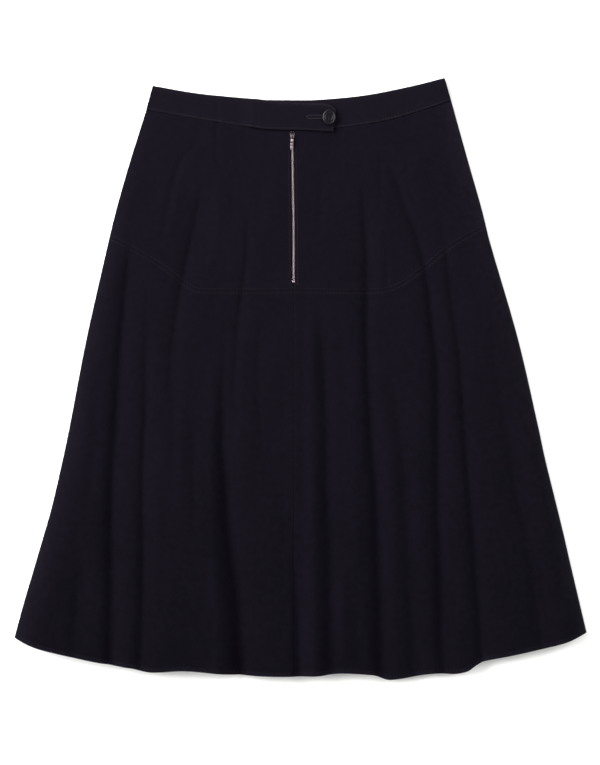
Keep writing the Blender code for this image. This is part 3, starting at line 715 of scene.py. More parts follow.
def rim_of(x, y, hem):
    """1 on the skirt's sides and hem, less along the seams inside it, and 0 away from both."""
    inner = np.minimum(np.minimum(abs(y - y[0]), abs(y - y[-1])),
                       np.minimum(abs(x - x[:, :1]), abs(x - x[:, -1:])))
    # painted highlight on the sides, stronger where the light grazes the outer slope
    side_rim = np.where(x > 0, LEFT_RIM, RIGHT_RIM)
    return np.maximum.reduce([np.exp(-np.maximum(y - hem(x), 0) / RIM_REACH),
                              side_rim * np.exp(-np.maximum(from_side(x, y), 0) / SIDE_REACH),
                              SEAM_RIM * np.exp(-inner / RIM_REACH)])


def beside_centre(sign):
    """The centre edge of a front piece: along the seam, and clear of the zip above its foot."""
    def edge(y):
        opened = smoothly((y - CLOSED_FROM) / (OPEN_DOWN_TO - CLOSED_FROM))
        return centre(y) + sign * (SEAM_GAP + (ZIP_OPENING - SEAM_GAP) * opened) / 2
    return edge


front = {}
for word, sign, side, band_foot in (
    ("right", -1, right_side, right_band_foot), ("left", 1, left_side, left_band_foot),
):
    for part, upper, lower, grid in (
        ("yoke", moved(band_foot, -GAP), moved(yoke_seam, SEAM_GAP / 2), YOKE_GRID),
        ("skirt", moved(yoke_seam, -SEAM_GAP / 2), front_hem, SKIRT_GRID),
    ):
        edges = (side, beside_centre(sign))
        x, y = patch(upper, lower, *(edges if sign < 0 else edges[::-1]), grid)
        made = cloth(f"suede_front_{part}_{word}", x, y, front_height(x, y), SUEDE, panel_suede,
                     rim_of(x, y, front_hem))
        front[part, word] = made
        print(f"{made.name}: {triangles(made)} triangles")

# %% [markdown]
# ## The back panel
#
# The back is one flared piece, pressed flat by its own weight, and hidden in the photo. It still has
# creases of the same kind as the front, only shallower: the cloth lifts off the table by less than
# a millimetre along them, and lies flat everywhere else.

# %% Cut the back
BACK_GRID = (170, 190)
BACK_CREASES = (
    Crease(0.6, 12, ((280, -150), (60, -205))), Crease(0.5, 12, ((290, -60), (120, -84))),
    Crease(0.6, 13, ((300, 70), (110, 92))), Crease(0.5, 12, ((280, 160), (40, 196))),
    Crease(0.8, 12, ((90, -210), (-250, -262))), Crease(0.7, 11, ((120, -120), (-180, -140))),
    Crease(0.8, 12, ((-20, -70), (-350, -96))), Crease(0.6, 11, ((140, -12), (-120, -4))),
    Crease(0.8, 12, ((20, 48), (-330, 60))), Crease(0.7, 11, ((90, 118), (-200, 132))),
    Crease(0.8, 12, ((-60, 172), (-340, 205))), Crease(0.7, 12, ((60, 238), (-270, 282))),
)
BACK_EASE = 30


def back_height(x, y):
    """How far the underside of the back lifts off the table."""
    inside = np.minimum(from_side(x, y), np.minimum(back_band_foot(x) - y, y - back_hem(x)))
    return np.maximum(crease_rise(x, y, BACK_CREASES), 0) * smoothly(inside / BACK_EASE)


x, y = patch(moved(back_band_foot, -GAP), back_hem, right_side, left_side, BACK_GRID)
back = cloth("suede_back", x, y, back_height(x, y), SUEDE, panel_suede,
             rim_of(x, y, back_hem))
print(f"{back.name}: {triangles(back)} triangles")

# %% [markdown]
# ## The waistband
#
# A waistband is one strip folded lengthwise, so it has a soft fold along the waist and two edges
# below, stitched together over the yoke. A flat bar would do from above, but from the side the fold
# and the two layers are what make it cloth. So the strip's section is drawn from the outer lower
# edge up, round the fold and down the inner layer, and each point of the band is a point of that
# section. The wearer's right half steps up over the end of the left half and ends in a tab with one
# round corner.

# %% Fold the strips
LAYER = 1.1
FOLD_ROUND = (BAND - LAYER) / 2
FOLD_STEPS = 8
FOOT_STEPS = (0, 0.6, 1.3, 2.0, 2.7, 3.5, 4.6)
BODY_FROM = 6.4
BODY_STEPS = 13
STITCH_INSET = 2.0
STITCH_SINK = 0.22
STITCH_SINK_WIDE = 0.8
BAND_RIPPLE = Ripple(0.14, 16, 12, 5.5)
BAND_SWELL = 0.12
BAND_SWELL_MOST = 0.2
FOOT_RIM = 0.35
STEP_UP_FROM = -76
STEP_UP_TO = -57
TAB_END_TOP = 44.5
TAB_END_FOOT = 41.5
TAB_CORNER_LONG = 17
TAB_CORNER_HIGH = 9
UNDERLAP_END = -54
STRAIGHT_COLUMNS = 100
CORNER_COLUMNS = 14
LEFT_COLUMNS = 110
BACK_COLUMNS = 150
Dip = namedtuple("Dip", "x wide deep")
BAND_DIPS = (Dip(-105, 3.0, 0.45), Dip(-56, 2.2, 0.5), Dip(118, 5, 0.2), Dip(-150, 6, 0.2))


def band_section(deep):
    """How far down from the waist, and how high over the band's underside, the strip's middle
    runs, from its outer lower edge round the fold to its inner lower edge."""
    middle = BAND / 2
    body = np.linspace(BODY_FROM, deep - middle, BODY_STEPS)
    outer_down = deep - np.concatenate([FOOT_STEPS, body])
    turn = np.linspace(0, math.pi, FOLD_STEPS + 1)[1:-1]
    down = np.concatenate([outer_down, middle - FOLD_ROUND * np.sin(turn), outer_down[::-1]])
    height = np.concatenate([
        np.full(len(outer_down), middle + FOLD_ROUND), middle + FOLD_ROUND * np.cos(turn),
        np.full(len(outer_down), middle - FOLD_ROUND),
    ])
    return down, height


def folded_strip(name, tops, feet, base):
    """A strip folded along its top. tops and feet are (x, y) for each column, and base is the
    height of its underside."""
    x, y, z, rim = [], [], [], []
    for (top_x, top_y), (foot_x, foot_y) in zip(tops, feet):
        deep = math.hypot(top_x - foot_x, top_y - foot_y)
        down, height = band_section(deep)
        share = down / deep
        column_x, column_y = top_x + (foot_x - top_x) * share, top_y + (foot_y - top_y) * share
        outer = height > BAND / 2
        sink = STITCH_SINK * np.exp(-(((deep - down) - STITCH_INSET) / STITCH_SINK_WIDE) ** 2)
        for dip in BAND_DIPS:
            sink = sink + dip.deep * np.exp(-((column_x - dip.x) / dip.wide) ** 2)
        swell = ripple(column_x, column_y, BAND_RIPPLE) + BAND_SWELL
        x.append(column_x)
        y.append(column_y)
        shaped = outer * (np.minimum(swell, BAND_SWELL_MOST) - sink)
        z.append(base(column_x, column_y) + height + shaped)
        # Paler along the fold at the waist and, more faintly, along the lower edge: partly rubbed
        # nap, partly a painted highlight where the light catches them
        rim.append(np.maximum(np.exp(-down / RIM_REACH),
                              FOOT_RIM * np.exp(-(deep - down) / RIM_REACH)) * outer)
    grids = [np.array(g).T for g in (x, y, z, rim)]
    return cloth(name, *grids[:3], LAYER, band_suede, grids[3], offset=0)


def right_band_base(x, y):
    """The right half's underside, which steps up over the end of the left half."""
    return (BAND + GAP) * (1 + smoothly((x - STEP_UP_FROM) / (STEP_UP_TO - STEP_UP_FROM)))


def left_band_base(x, y):
    """The left half's underside, which lies on the back of the waistband."""
    return BAND + GAP + 0 * x


def back_band_base(x, y):
    """The underside of the back of the waistband, which lies on the table."""
    return 0 * x


def tab_top(x):
    """The right half's upper edge, with the tab's round corner."""
    past = np.clip((x - (TAB_END_TOP - TAB_CORNER_LONG)) / TAB_CORNER_LONG, 0, 1)
    return right_band_top(x) - TAB_CORNER_HIGH * (1 - np.sqrt(1 - past * past))


def points_on(line, xs):
    return np.stack([xs, line(xs)], axis=-1)


# %% Right half with its tab, left half, and back
def right_band():
    corner_start = TAB_END_TOP - TAB_CORNER_LONG
    top_start = right_side(right_band_top(RIGHT_BAND_TOP[0].x))
    foot_start = right_side(right_band_foot(RIGHT_BAND_FOOT[0].x))
    straight = np.linspace(0, 1, STRAIGHT_COLUMNS)
    round_the_corner = np.sin(np.linspace(0, math.pi / 2, CORNER_COLUMNS + 1)[1:])
    top_x = np.concatenate([top_start + (corner_start - top_start) * straight,
                            corner_start + TAB_CORNER_LONG * round_the_corner])
    foot_x = np.concatenate([foot_start + (corner_start - foot_start) * straight,
                             corner_start + (TAB_END_FOOT - corner_start) * round_the_corner])
    return folded_strip("suede_waistband_right", points_on(tab_top, top_x),
                        points_on(right_band_foot, foot_x), right_band_base)


def plain_band(name, top, foot, start_x, end_x, columns, base):
    share = np.linspace(0, 1, columns + 1)
    tops, feet = [], []
    for line, kept in ((top, tops), (foot, feet)):
        y = on_line(lambda y: start_x(y) + (end_x(y) - start_x(y)) * share, line)
        kept.extend(points_on(line, start_x(y) + (end_x(y) - start_x(y)) * share))
    return folded_strip(name, tops, feet, base)


band = {
    "right": right_band(),
    "left": plain_band("suede_waistband_left", left_band_top, left_band_foot,
                       lambda y: UNDERLAP_END + 0 * y, left_side, LEFT_COLUMNS, left_band_base),
    "back": plain_band("suede_waistband_back", back_band_top, back_band_foot,
                       right_side, left_side, BACK_COLUMNS, back_band_base),
}
for made in band.values():
    print(f"{made.name}: {triangles(made)} triangles")

# %% [markdown]
# ## The cut of each piece
#
# The flat size of each piece is what it was cut to: the width and length of the rectangle that its
# cut shape fits in, and its own flat area, because none of them is a rectangle. The table lists them,
# and each piece is attached to the skirt's body in place of its plain solid.

# %% The cut of each piece, and what it rests on
CUTS = (
    (front["yoke", "right"], "front_yoke_right", (0.232, 0.232), 0.0427),
    (front["yoke", "left"], "front_yoke_left", (0.244, 0.244), 0.0452),
    (front["skirt", "right"], "front_skirt_right", (0.366, 0.560), 0.1525),
    (front["skirt", "left"], "front_skirt_left", (0.386, 0.580), 0.1653),
    (back, "back_panel", (0.724, 0.724), 0.3917),
    (band["right"], "waistband_right", (0.244, 0.068), 0.0162),
    (band["left"], "waistband_left", (0.250, 0.072), 0.0173),
    (band["back"], "waistband_back", (0.388, 0.062), 0.0231),
)
for piece, node, flat, area in CUTS:
    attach(piece, "skirt")
    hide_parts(node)

# %% [markdown]
# ## One stitch, many times
#
# Topstitching is what tells a sewn garment from a moulded one. A stitch is a short, rounded bar of
# thread that dives into the cloth at both ends. It is modelled once, as a small stretched ball with
# its ends pressed down, and then copied along each row with the row's direction and the cloth's
# slope. All the stitches of a row become one mesh, which keeps the scene light.

# %% Model a stitch
STITCH_LONG = 3.0
STITCH_WIDE = 0.64
STITCH_HIGH = 0.46
STITCH_END = 0.36  # the share of its length, from its middle, past which it dives
STITCH_DIVE = 0.3


def start_edit(thing):
    only(thing)
    bpy.ops.object.mode_set(mode="EDIT")
    bpy.ops.mesh.select_mode(type="FACE")


def choose(thing, test):
    """In edit mode, selects the faces whose middle and normal pass a test, in millimetres."""
    shape = bmesh.from_edit_mesh(thing.data)
    for face in shape.faces:
        face.select_set(bool(test(face.calc_center_median() / MM, face.normal)))
    bmesh.update_edit_mesh(thing.data)


def end_edit():
    bpy.ops.object.mode_set(mode="OBJECT")


def model_stitch():
    bpy.ops.mesh.primitive_uv_sphere_add(segments=8, ring_count=7, radius=0.5 * MM,
                                         rotation=(0, math.pi / 2, 0))
    stitch = bpy.context.object
    bpy.ops.object.transform_apply(location=False, rotation=True, scale=True)
    start_edit(stitch)
    bpy.ops.mesh.select_all(action="SELECT")
    bpy.ops.transform.resize(value=(STITCH_LONG, STITCH_WIDE, STITCH_HIGH))
    choose(stitch, lambda middle, normal: abs(middle.x) > STITCH_LONG * STITCH_END)
    bpy.ops.transform.translate(value=(0, 0, -STITCH_DIVE * STITCH_HIGH * MM))
    end_edit()
    return stitch


def shape_of(thing):
    """The points, in metres, and the faces of an object, which is then removed."""
    points = np.array([vertex.co[:] for vertex in thing.data.vertices])
    faces = [tuple(face.vertices) for face in thing.data.polygons]
    bpy.data.objects.remove(thing)
    return points, faces


stitch_shape = shape_of(model_stitch())
print(f"one stitch: {len(stitch_shape[1])} faces")


# %% Copy a shape along places
def copies(name, shape, frames, finish):
    """One mesh of many copies of a shape, each with its own 4 by 4 frame, in metres."""
    points, faces = shape
    count = len(points)
    wide = np.concatenate([points, np.ones((count, 1))], axis=1)
    all_points = np.concatenate([(np.array(frame_) @ wide.T).T[:, :3] for frame_ in frames])
    all_faces = [tuple(v + k * count for v in face) for k in range(len(frames)) for face in faces]
    mesh = bpy.data.meshes.new(name)
    mesh.from_pydata(all_points.tolist(), [], all_faces)
    mesh.shade_smooth()
    mesh.materials.append(finish)
    made = bpy.data.objects.new(name, mesh)
    bpy.context.scene.collection.objects.link(made)
    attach(made, "skirt")
    return made


def frame_at(place, forward, up, stretch=(1, 1, 1)):
    """The frame whose X runs forward and whose Z is up, at a place in millimetres."""
    x_axis = forward.normalized()
    y_axis = up.cross(x_axis).normalized()
    z_axis = x_axis.cross(y_axis)
    made = Matrix((x_axis * stretch[0], y_axis * stretch[1], z_axis * stretch[2])).transposed()
    return Matrix.Translation(place * MM) @ made.to_4x4()


def stitches_along(path, height, wall, pitch, sink=0.02, stretch=(1, 1, 1), turn=0.0, near=0.5):
    """Frames at an even pitch along a path of (x, y) rows, lying on a surface. The path's direction
    is read a little way before and after each of them."""
    path = np.asarray(path, float)
    steps = np.hypot(*np.diff(path, axis=0).T)
    run = np.concatenate([[0], np.cumsum(steps)])
    count = max(int(run[-1] / pitch), 1)
    at = (np.arange(count) + 0.5) * run[-1] / count
    x, y = np.interp(at, run, path[:, 0]), np.interp(at, run, path[:, 1])
    ahead_x = np.interp(at + near, run, path[:, 0]) - np.interp(at - near, run, path[:, 0])
    ahead_y = np.interp(at + near, run, path[:, 1]) - np.interp(at - near, run, path[:, 1])
    z, across, up = lift_from(height, wall, x, y)
    frames = []
    for k in range(count):
        out = Vector((-across[k], -up[k], 1)).normalized()
        forward = Vector((ahead_x[k], ahead_y[k], 0))
        forward = Matrix.Rotation(turn, 3, "Z") @ forward
        forward -= out * forward.dot(out)
        frames.append(frame_at(Vector((x[k], y[k], z[k] - sink)), forward, out, stretch))
    return frames


# %% [markdown]
# ## Thread
#
# The thread is polyester, close to the suede's colour and a little smoother than the nap. It comes in
# three copies that differ only in brightness. On the waistband it is lighter than the cloth, a
# painted highlight where the light catches those stitches, so a row of it reads as a faint dotted
# line. In the buttonhole it is a little darker. In the panels and on the button it is darker still,
# a painted shade that sinks the stitches into the cloth. Its ply shows as fine slanting ribs.

# %% Thread finish
PLY_SLANT = 0.9
PLY_STRENGTH = 0.4
PLY_DEEP = 0.05


def thread_material(name, colour, lighter):
    made, tree, shader, bump, place = new_material(name, roughness=0.62, specular=0.18)
    slant = put(tree, "ShaderNodeMapping", Rotation=(0.0, 0.0, PLY_SLANT))
    ply = put(tree, "ShaderNodeTexWave", {"wave_type": "BANDS"}, Scale=420.0, Distortion=0.6)
    join(tree, place, "Object", slant, "Vector")
    join(tree, slant, "Vector", ply, "Vector")
    tint = mix_colours(tree, (ply, "Fac"), colour, lighter)
    join(tree, tint, MIX_RESULT, shader, "Base Color")
    join(tree, ply, "Fac", bump, "Height")
    bump.inputs["Strength"].default_value = PLY_STRENGTH
    bump.inputs["Distance"].default_value = PLY_DEEP * MM
    return made


# One thread in three brightnesses: lighter on the waistband as a painted highlight, darker in the
# panels and on the button as painted shade
band_thread = thread_material("waistband thread", (0.0065, 0.0056, 0.0082), (0.0140, 0.0121, 0.0170))
hole_thread = thread_material("buttonhole thread", (0.0028, 0.0024, 0.0039), (0.0064, 0.0054, 0.0081))
thread = thread_material("seam thread", (0.0010, 0.0008, 0.0015), (0.0022, 0.0017, 0.0032))

# %% [markdown]
# ## Where the rows of stitches run
#
# The photo shows a row just above the waistband's lower edge, round the tab, two rows that hold the
# yoke seam open, and a faint row above the hem. A row on each side of the zip sews its tapes in. The
# back has the same rows at its waistband and hem.

# %% Stitch rows
PITCH = 4.0
YOKE_ROWS_APART = 2.8
HEM_ROW = 4.5
ZIP_ROW = 2.2
ZIP_ROW_TOP = 310
ZIP_ROW_PAST = 5  # how far the zip's rows run on below its foot
ZIP_CLOSING_ROW = 1.5  # how far below them the row that joins them lies
ZIP_FOOT = 121.6
YOKE_FOOT = 111
TAB_INSET = 2.0
TAB_ROW_END = -52
TAB_PAST_CORNER = 3
PATH_STEP = 4.0
OFF_SIDE = 3  # how far from a side seam the yoke's rows begin and end
OFF_HEM_SIDE = 4
OFF_BAND_SIDE = 2.5


def line_path(line, start, end, by=0.0, step=PATH_STEP):
    """Places along a line across the skirt, from one x to another, moved off it by a distance."""
    xs = np.arange(start, end, step)
    ys = line(xs)
    slope = np.gradient(ys, xs)
    length = np.sqrt(1 + slope * slope)
    return np.stack([xs - slope / length * by, ys + by / length], axis=-1)


def side_at(side, line, inset):
    """The x at which a line across the skirt comes within a distance of a side seam."""
    y = 0.0
    for _ in range(CROSSING_ROUNDS):
        y = float(line(float(side(y))))
    return float(side(y)) + inset


def front_rows():
    """Two rows along the yoke seam, one along the hem, and one round the zip."""
    rows = []
    off = ZIP_OPENING / 2 + ZIP_ROW
    for by in (YOKE_ROWS_APART, -YOKE_ROWS_APART):
        start = side_at(right_side, yoke_seam, OFF_SIDE)
        end = side_at(left_side, yoke_seam, -OFF_SIDE)
        beside_zip = 0 if by < 0 else off
        rows.append(line_path(yoke_seam, start, centre(YOKE_FOOT) - beside_zip, by))
        rows.append(line_path(yoke_seam, centre(YOKE_FOOT) + beside_zip, end, by))
    hem_start = side_at(right_side, front_hem, OFF_HEM_SIDE)
    hem_end = side_at(left_side, front_hem, -OFF_HEM_SIDE)
    rows.append(line_path(front_hem, hem_start, centre(HEM_Y) - 1, HEM_ROW))
    rows.append(line_path(front_hem, centre(HEM_Y) + 1, hem_end, HEM_ROW))
    ys = np.arange(ZIP_ROW_TOP, ZIP_FOOT - ZIP_ROW_PAST, -PATH_STEP)
    for sign in (-1, 1):
        rows.append(np.stack([centre(ys) + sign * off, ys], axis=-1))
    across = np.linspace(-off, off, 5)
    rows.append(np.stack([centre(ys[-1]) + across, 0 * across + ys[-1] - ZIP_CLOSING_ROW], axis=-1))
    return rows


front_frames = [f for row in front_rows() for f in stitches_along(row, front_height, SUEDE, PITCH)]
front_stitches = copies("stitches_front", stitch_shape, front_frames, thread)
print(f"front: {len(front_frames)} stitches")


# %% Stitches of the waistband and the back
def tab_row():
    """Round the tab: along its lower edge, up its end and back along its upper edge."""
    low = line_path(right_band_foot, side_at(right_side, right_band_foot, OFF_BAND_SIDE),
                    TAB_END_FOOT - TAB_INSET, STITCH_INSET)
    corner_x, corner_y = TAB_END_TOP - TAB_CORNER_LONG, float(tab_top(TAB_END_TOP - TAB_CORNER_LONG))
    turn = np.linspace(0, math.pi / 2, 12)
    round_x = corner_x + (TAB_CORNER_LONG - TAB_INSET) * np.cos(turn)
    round_y = corner_y - TAB_CORNER_HIGH + (TAB_CORNER_HIGH - TAB_INSET) * np.sin(turn)
    along_x = np.arange(corner_x - TAB_PAST_CORNER, TAB_ROW_END, -PATH_STEP)
    along_y = right_band_top(along_x) - TAB_INSET
    end = np.array([[TAB_END_FOOT - TAB_INSET, float(right_band_foot(TAB_END_FOOT)) + STITCH_INSET]])
    return [low, np.concatenate([end, np.stack([round_x, round_y], -1),
                                 np.stack([along_x, along_y], -1)])]


FOOT_STITCH_LEVEL = BAND - 0.14
TAB_STITCH_LEVEL = BAND + 0.05
PAST_TAB = 1.5
BACK_STITCH_LIFT = 0.05
foot_row, end_row = tab_row()
left_row = line_path(left_band_foot, TAB_END_FOOT + PAST_TAB,
                     side_at(left_side, left_band_foot, -OFF_BAND_SIDE), STITCH_INSET)
band_frames = (stitches_along(foot_row, right_band_base, FOOT_STITCH_LEVEL, PITCH)
               + stitches_along(end_row, right_band_base, TAB_STITCH_LEVEL, PITCH)
               + stitches_along(left_row, left_band_base, FOOT_STITCH_LEVEL, PITCH))
band_stitches = copies("stitches_waistband", stitch_shape, band_frames, band_thread)

back_rows = [
    (line_path(back_band_foot, side_at(right_side, back_band_foot, OFF_BAND_SIDE),
               side_at(left_side, back_band_foot, -OFF_BAND_SIDE), STITCH_INSET), back_band_base),
    (line_path(back_hem, side_at(right_side, back_hem, OFF_HEM_SIDE),
               side_at(left_side, back_hem, -OFF_HEM_SIDE), HEM_ROW), back_height),
]
under_frames = []
for row, base in back_rows:
    for made in stitches_along(row, base, 0, PITCH):
        under_frames.append(made @ Matrix.Translation((0, 0, BACK_STITCH_LIFT * MM)))
back_stitches = copies("stitches_back", stitch_shape, under_frames, thread)
print(f"waistband: {len(band_frames)} stitches; back: {len(under_frames)}")

# %% [markdown]
# ## The buttonhole
#
# A worked buttonhole is a slit between two rows of dense, short stitches, closed by a bar at its
# end. Most of it shows to the left of the button. The same stitch does for it, laid across the rows
# and packed tightly.

# %% Work the buttonhole
HOLE_START = 9.0
HOLE_END = 33.0
HOLE_Y = 330.9
HOLE_ROWS_APART = 4.0
SATIN_PITCH = 0.7
SATIN_LONG = 1.7
SATIN_WIDER = 1.15
SATIN_LIFT = 0.14
BARS = 3
BARS_APART = 0.5
BAR_HALF = 2.2
BAR_LIFT = 0.18


def buttonhole_frames():
    frames = []
    quarter = math.pi / 2
    satin = (SATIN_LONG / STITCH_LONG, SATIN_WIDER, 1.0)
    for sign in (-1, 1):
        row = [(HOLE_START, HOLE_Y + sign * HOLE_ROWS_APART / 2),
               (HOLE_END, HOLE_Y + sign * HOLE_ROWS_APART / 2)]
        frames += stitches_along(row, right_band_base, BAND, SATIN_PITCH, -SATIN_LIFT, satin, quarter)
    for k in range(BARS):
        at = HOLE_START - BARS_APART * (k + 1)
        bar = [(at, HOLE_Y - BAR_HALF), (at, HOLE_Y + BAR_HALF)]
        frames += stitches_along(bar, right_band_base, BAND, BAR_HALF, -BAR_LIFT)
    return frames


buttonhole = copies("buttonhole_stitches", stitch_shape, buttonhole_frames(), hole_thread)

# %% [markdown]
# ## Metal and horn, the wear they share, and painted shade
#
# The zip is a warm silver metal that has been handled: its roughness wanders and it has short, fine
# scratches. The button is dark and satin, and gets the same wear more softly. That is one group.
# Painted shade darkens the pull tab in its thin necks and at its tip, standing in for the chain that
# lies in the tab's shadow there, as far as an attribute on the tab asks. The slider and the top stops
# get a darker copy of the zip metal: a painted dark reflection.

# %% The wear group
WEAR_GAIN = 2.6
wear, wear_in, wear_out = new_group(
    "handled wear",
    [("Place", VECTOR, (0, 0, 0)), ("Clean", FLOAT, 0.3), ("Worn", FLOAT, 0.5)],
    [("Mask", FLOAT), ("Roughness", FLOAT), ("Height", FLOAT)],
)
drawn = put(wear, "ShaderNodeMapping", Scale=(1.0, 6.0, 1.0), Rotation=(0.0, 0.0, 0.5))
join(wear, wear_in, "Place", drawn, "Vector")
scratches = put(wear, "ShaderNodeTexNoise", Scale=900.0, Detail=4.0, Roughness=0.65)
clouds = put(wear, "ShaderNodeTexNoise", Scale=340.0, Detail=2.0, Roughness=0.5)
join(wear, drawn, "Vector", scratches, "Vector")
join(wear, wear_in, "Place", clouds, "Vector")
mask = calculate(wear, "MULTIPLY", (scratches, "Fac"), (clouds, "Fac"))
mask = calculate(wear, "MULTIPLY", (mask, 0), WEAR_GAIN)
mask.use_clamp = True
join(wear, mask, 0, wear_out, "Mask")
span = calculate(wear, "SUBTRACT", (wear_in, "Worn"), (wear_in, "Clean"))
rise = calculate(wear, "MULTIPLY", (span, 0), (mask, 0))
level = calculate(wear, "ADD", (rise, 0), (wear_in, "Clean"))
join(wear, level, 0, wear_out, "Roughness")
join(wear, scratches, "Fac", wear_out, "Height")


# %% Metal and button finishes
# The colour of the painted shade in the pull tab's necks and at its tip
PAINTED_GAP_SHADE = (0.009, 0.007, 0.008)
SCRATCH_STRENGTH = 0.25


def worn_material(name, colour, rubbed_and_highlight_tone, clean, worn, metallic, specular, depth):
    made, tree, shader, bump, place = new_material(name, clean, metallic, specular)
    finish = put(tree, "ShaderNodeGroup", {"node_tree": wear})
    finish.inputs["Clean"].default_value = clean
    finish.inputs["Worn"].default_value = worn
    join(tree, place, "Object", finish, "Place")
    tint = mix_colours(tree, (finish, "Mask"), colour, rubbed_and_highlight_tone)
    # Painted shade: where the pull tab's attribute asks, the colour is darkened to stand in for the
    # chain in the tab's shadow
    recess = put(tree, "ShaderNodeAttribute", {"attribute_name": "recess"})
    gap_shade = mix_colours(tree, (recess, "Fac"), (tint, MIX_RESULT), PAINTED_GAP_SHADE)
    join(tree, gap_shade, MIX_RESULT, shader, "Base Color")
    join(tree, finish, "Roughness", shader, "Roughness")
    join(tree, finish, "Height", bump, "Height")
    bump.inputs["Strength"].default_value = SCRATCH_STRENGTH
    bump.inputs["Distance"].default_value = depth * MM
    return made


silver = worn_material(
    "warm silver zip metal", colour=(0.36, 0.284, 0.308), rubbed_and_highlight_tone=(0.48, 0.382, 0.41),
    clean=0.30, worn=0.48, metallic=1.0, specular=0.5, depth=0.02)
# A darker copy of the zip metal for the slider and the top stops: a painted dark reflection, as a
# polished slider mirrors the dark room around it
dark_reflection_silver = worn_material(
    "zip metal with painted dark reflection", colour=(0.055, 0.041, 0.045), rubbed_and_highlight_tone=(0.095, 0.072, 0.079),
    clean=0.24, worn=0.42, metallic=1.0, specular=0.5, depth=0.02)
horn = worn_material(
    "dark button", colour=(0.0010, 0.0009, 0.0012), rubbed_and_highlight_tone=(0.0022, 0.0020, 0.0026),
    clean=0.26, worn=0.38, metallic=0.0, specular=0.22, depth=0.03)
HORN_GLINT = (0.88, 0.80, 1, 1)
horn.node_tree.nodes["Principled BSDF"].inputs["Specular Tint"].default_value = HORN_GLINT


# %% The zip's tape is woven
TAPE_DARK, TAPE_LIGHT = (0.005, 0.0042, 0.0065), (0.013, 0.011, 0.016)
WEAVE_STRENGTH = 0.5
WEAVE_DEEP = 0.08


def tape_material():
    """A ribbed tape: fine ridges across, crossed by the warp."""
    made, tree, shader, bump, place = new_material("zip tape", roughness=0.85, specular=0.1)
    ribs = put(tree, "ShaderNodeTexWave", {"bands_direction": "Y"}, Scale=260.0, Distortion=0.3)
    warp = put(tree, "ShaderNodeTexWave", {"bands_direction": "X"}, Scale=340.0, Distortion=0.3)
    join(tree, place, "Object", ribs, "Vector")
    join(tree, place, "Object", warp, "Vector")
    weave = calculate(tree, "MULTIPLY", (ribs, "Fac"), (warp, "Fac"))
    tint = mix_colours(tree, (weave, 0), TAPE_DARK, TAPE_LIGHT)
    join(tree, tint, MIX_RESULT, shader, "Base Color")
    join(tree, weave, 0, bump, "Height")
    bump.inputs["Strength"].default_value = WEAVE_STRENGTH
    bump.inputs["Distance"].default_value = WEAVE_DEEP * MM
    return made


tape_finish = tape_material()
for node in ("zip_tape_right", "zip_tape_left"):
    tape_node = frame["nodes"][node]
    tape_node.data.materials.clear()
    tape_node.data.materials.append(tape_finish)

# %% [markdown]
# ## Zip teeth
#
# Each tooth is clamped on its own tape and hooks past its neighbour from the other one. A tooth is a
# small block: wide where it grips the tape, narrower at its tip, with a bump on top that seats in
# the next tooth. It is modelled once, then set down the chain from either side in turn.

# %% Model a tooth
CHAIN = 1.7
CHAIN_WIDE = 2.9
TOOTH_LONG = 1.8
TOOTH_THICK = 0.8
TOOTH_PITCH = 1.03
TIP = (1, 0.8, 0.62)  # the shares of its size that a tooth's tip keeps
BUMP_INSET = 0.2
BUMP_FORWARD = 0.2
BUMP_HIGH = 0.16
BUMP_TOP = (0.7, 0.8, 1)


def hard_edges(thing, width, segments=2, angle=35):
    """Rounds the sharp edges, applied."""
    rounding = thing.modifiers.new("Edge", "BEVEL")
    rounding.width = width * MM
    rounding.segments = segments
    rounding.limit_method = "ANGLE"
    rounding.angle_limit = math.radians(angle)
    apply_modifiers(thing)


def block(name, size, middle):
    """A box of this size and middle, in millimetres, ready to be shaped in edit mode."""
    bpy.ops.mesh.primitive_cube_add(size=1, location=in_metres(*middle))
    made = bpy.context.object
    made.name = made.data.name = name
    made.scale = in_metres(*size)
    bpy.ops.object.transform_apply(location=True, rotation=True, scale=True)
    return made


def model_tooth():
    """A tooth whose tip points along X from its grip, and whose underside is at height 0."""
    tooth = block("tooth", (TOOTH_LONG, TOOTH_THICK, CHAIN), (0, 0, CHAIN / 2))
    start_edit(tooth)
    choose(tooth, lambda middle, normal: normal.x > 0.5)
    bpy.ops.transform.resize(value=TIP)
    choose(tooth, lambda middle, normal: normal.z > 0.5)
    bpy.ops.mesh.inset(thickness=BUMP_INSET * MM)
    bpy.ops.mesh.extrude_region_move(
        TRANSFORM_OT_translate={"value": in_metres(BUMP_FORWARD, 0, BUMP_HIGH)})
    bpy.ops.transform.resize(value=BUMP_TOP)
    end_edit()
    hard_edges(tooth, width=0.09, segments=1)
    return tooth


tooth_shape = shape_of(model_tooth())
print(f"one tooth: {len(tooth_shape[1])} faces")

# %% Set the teeth down the chain
chain_low, chain_high = (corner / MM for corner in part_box("zip_chain"))


def chain_frames():
    frames = []
    y = chain_high.y - TOOTH_THICK / 2
    side = 1
    while y > chain_low.y + TOOTH_THICK / 2:
        grip = Vector((float(centre(y)) - side * (CHAIN_WIDE - TOOTH_LONG) / 2, y,
                       float(SUEDE + GAP + folded_front(centre(y), y))))
        ahead = float(folded_front(centre(y), y + 1) - folded_front(centre(y), y - 1)) / 2
        frames.append(frame_at(grip, Vector((side, 0, 0)), Vector((0, -ahead, 1))))
        y -= TOOTH_PITCH
        side = -side
    return frames


teeth = copies("zip_teeth", tooth_shape, chain_frames(), silver)
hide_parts("zip_chain")
print(f"chain: {len(teeth.data.polygons)} faces")

# %% [markdown]
# ## Stops
#
# The bottom stop is a flat staple across both rows of teeth. At the top each tape ends in a small
# crimped stop, which the photo just shows above the slider.

# %% Bottom stop and top stops
stop_low, stop_high = (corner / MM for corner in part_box("zip_bottom_stop"))
STAPLE_INSET = 0.45
STAPLE_RAISED = 0.12


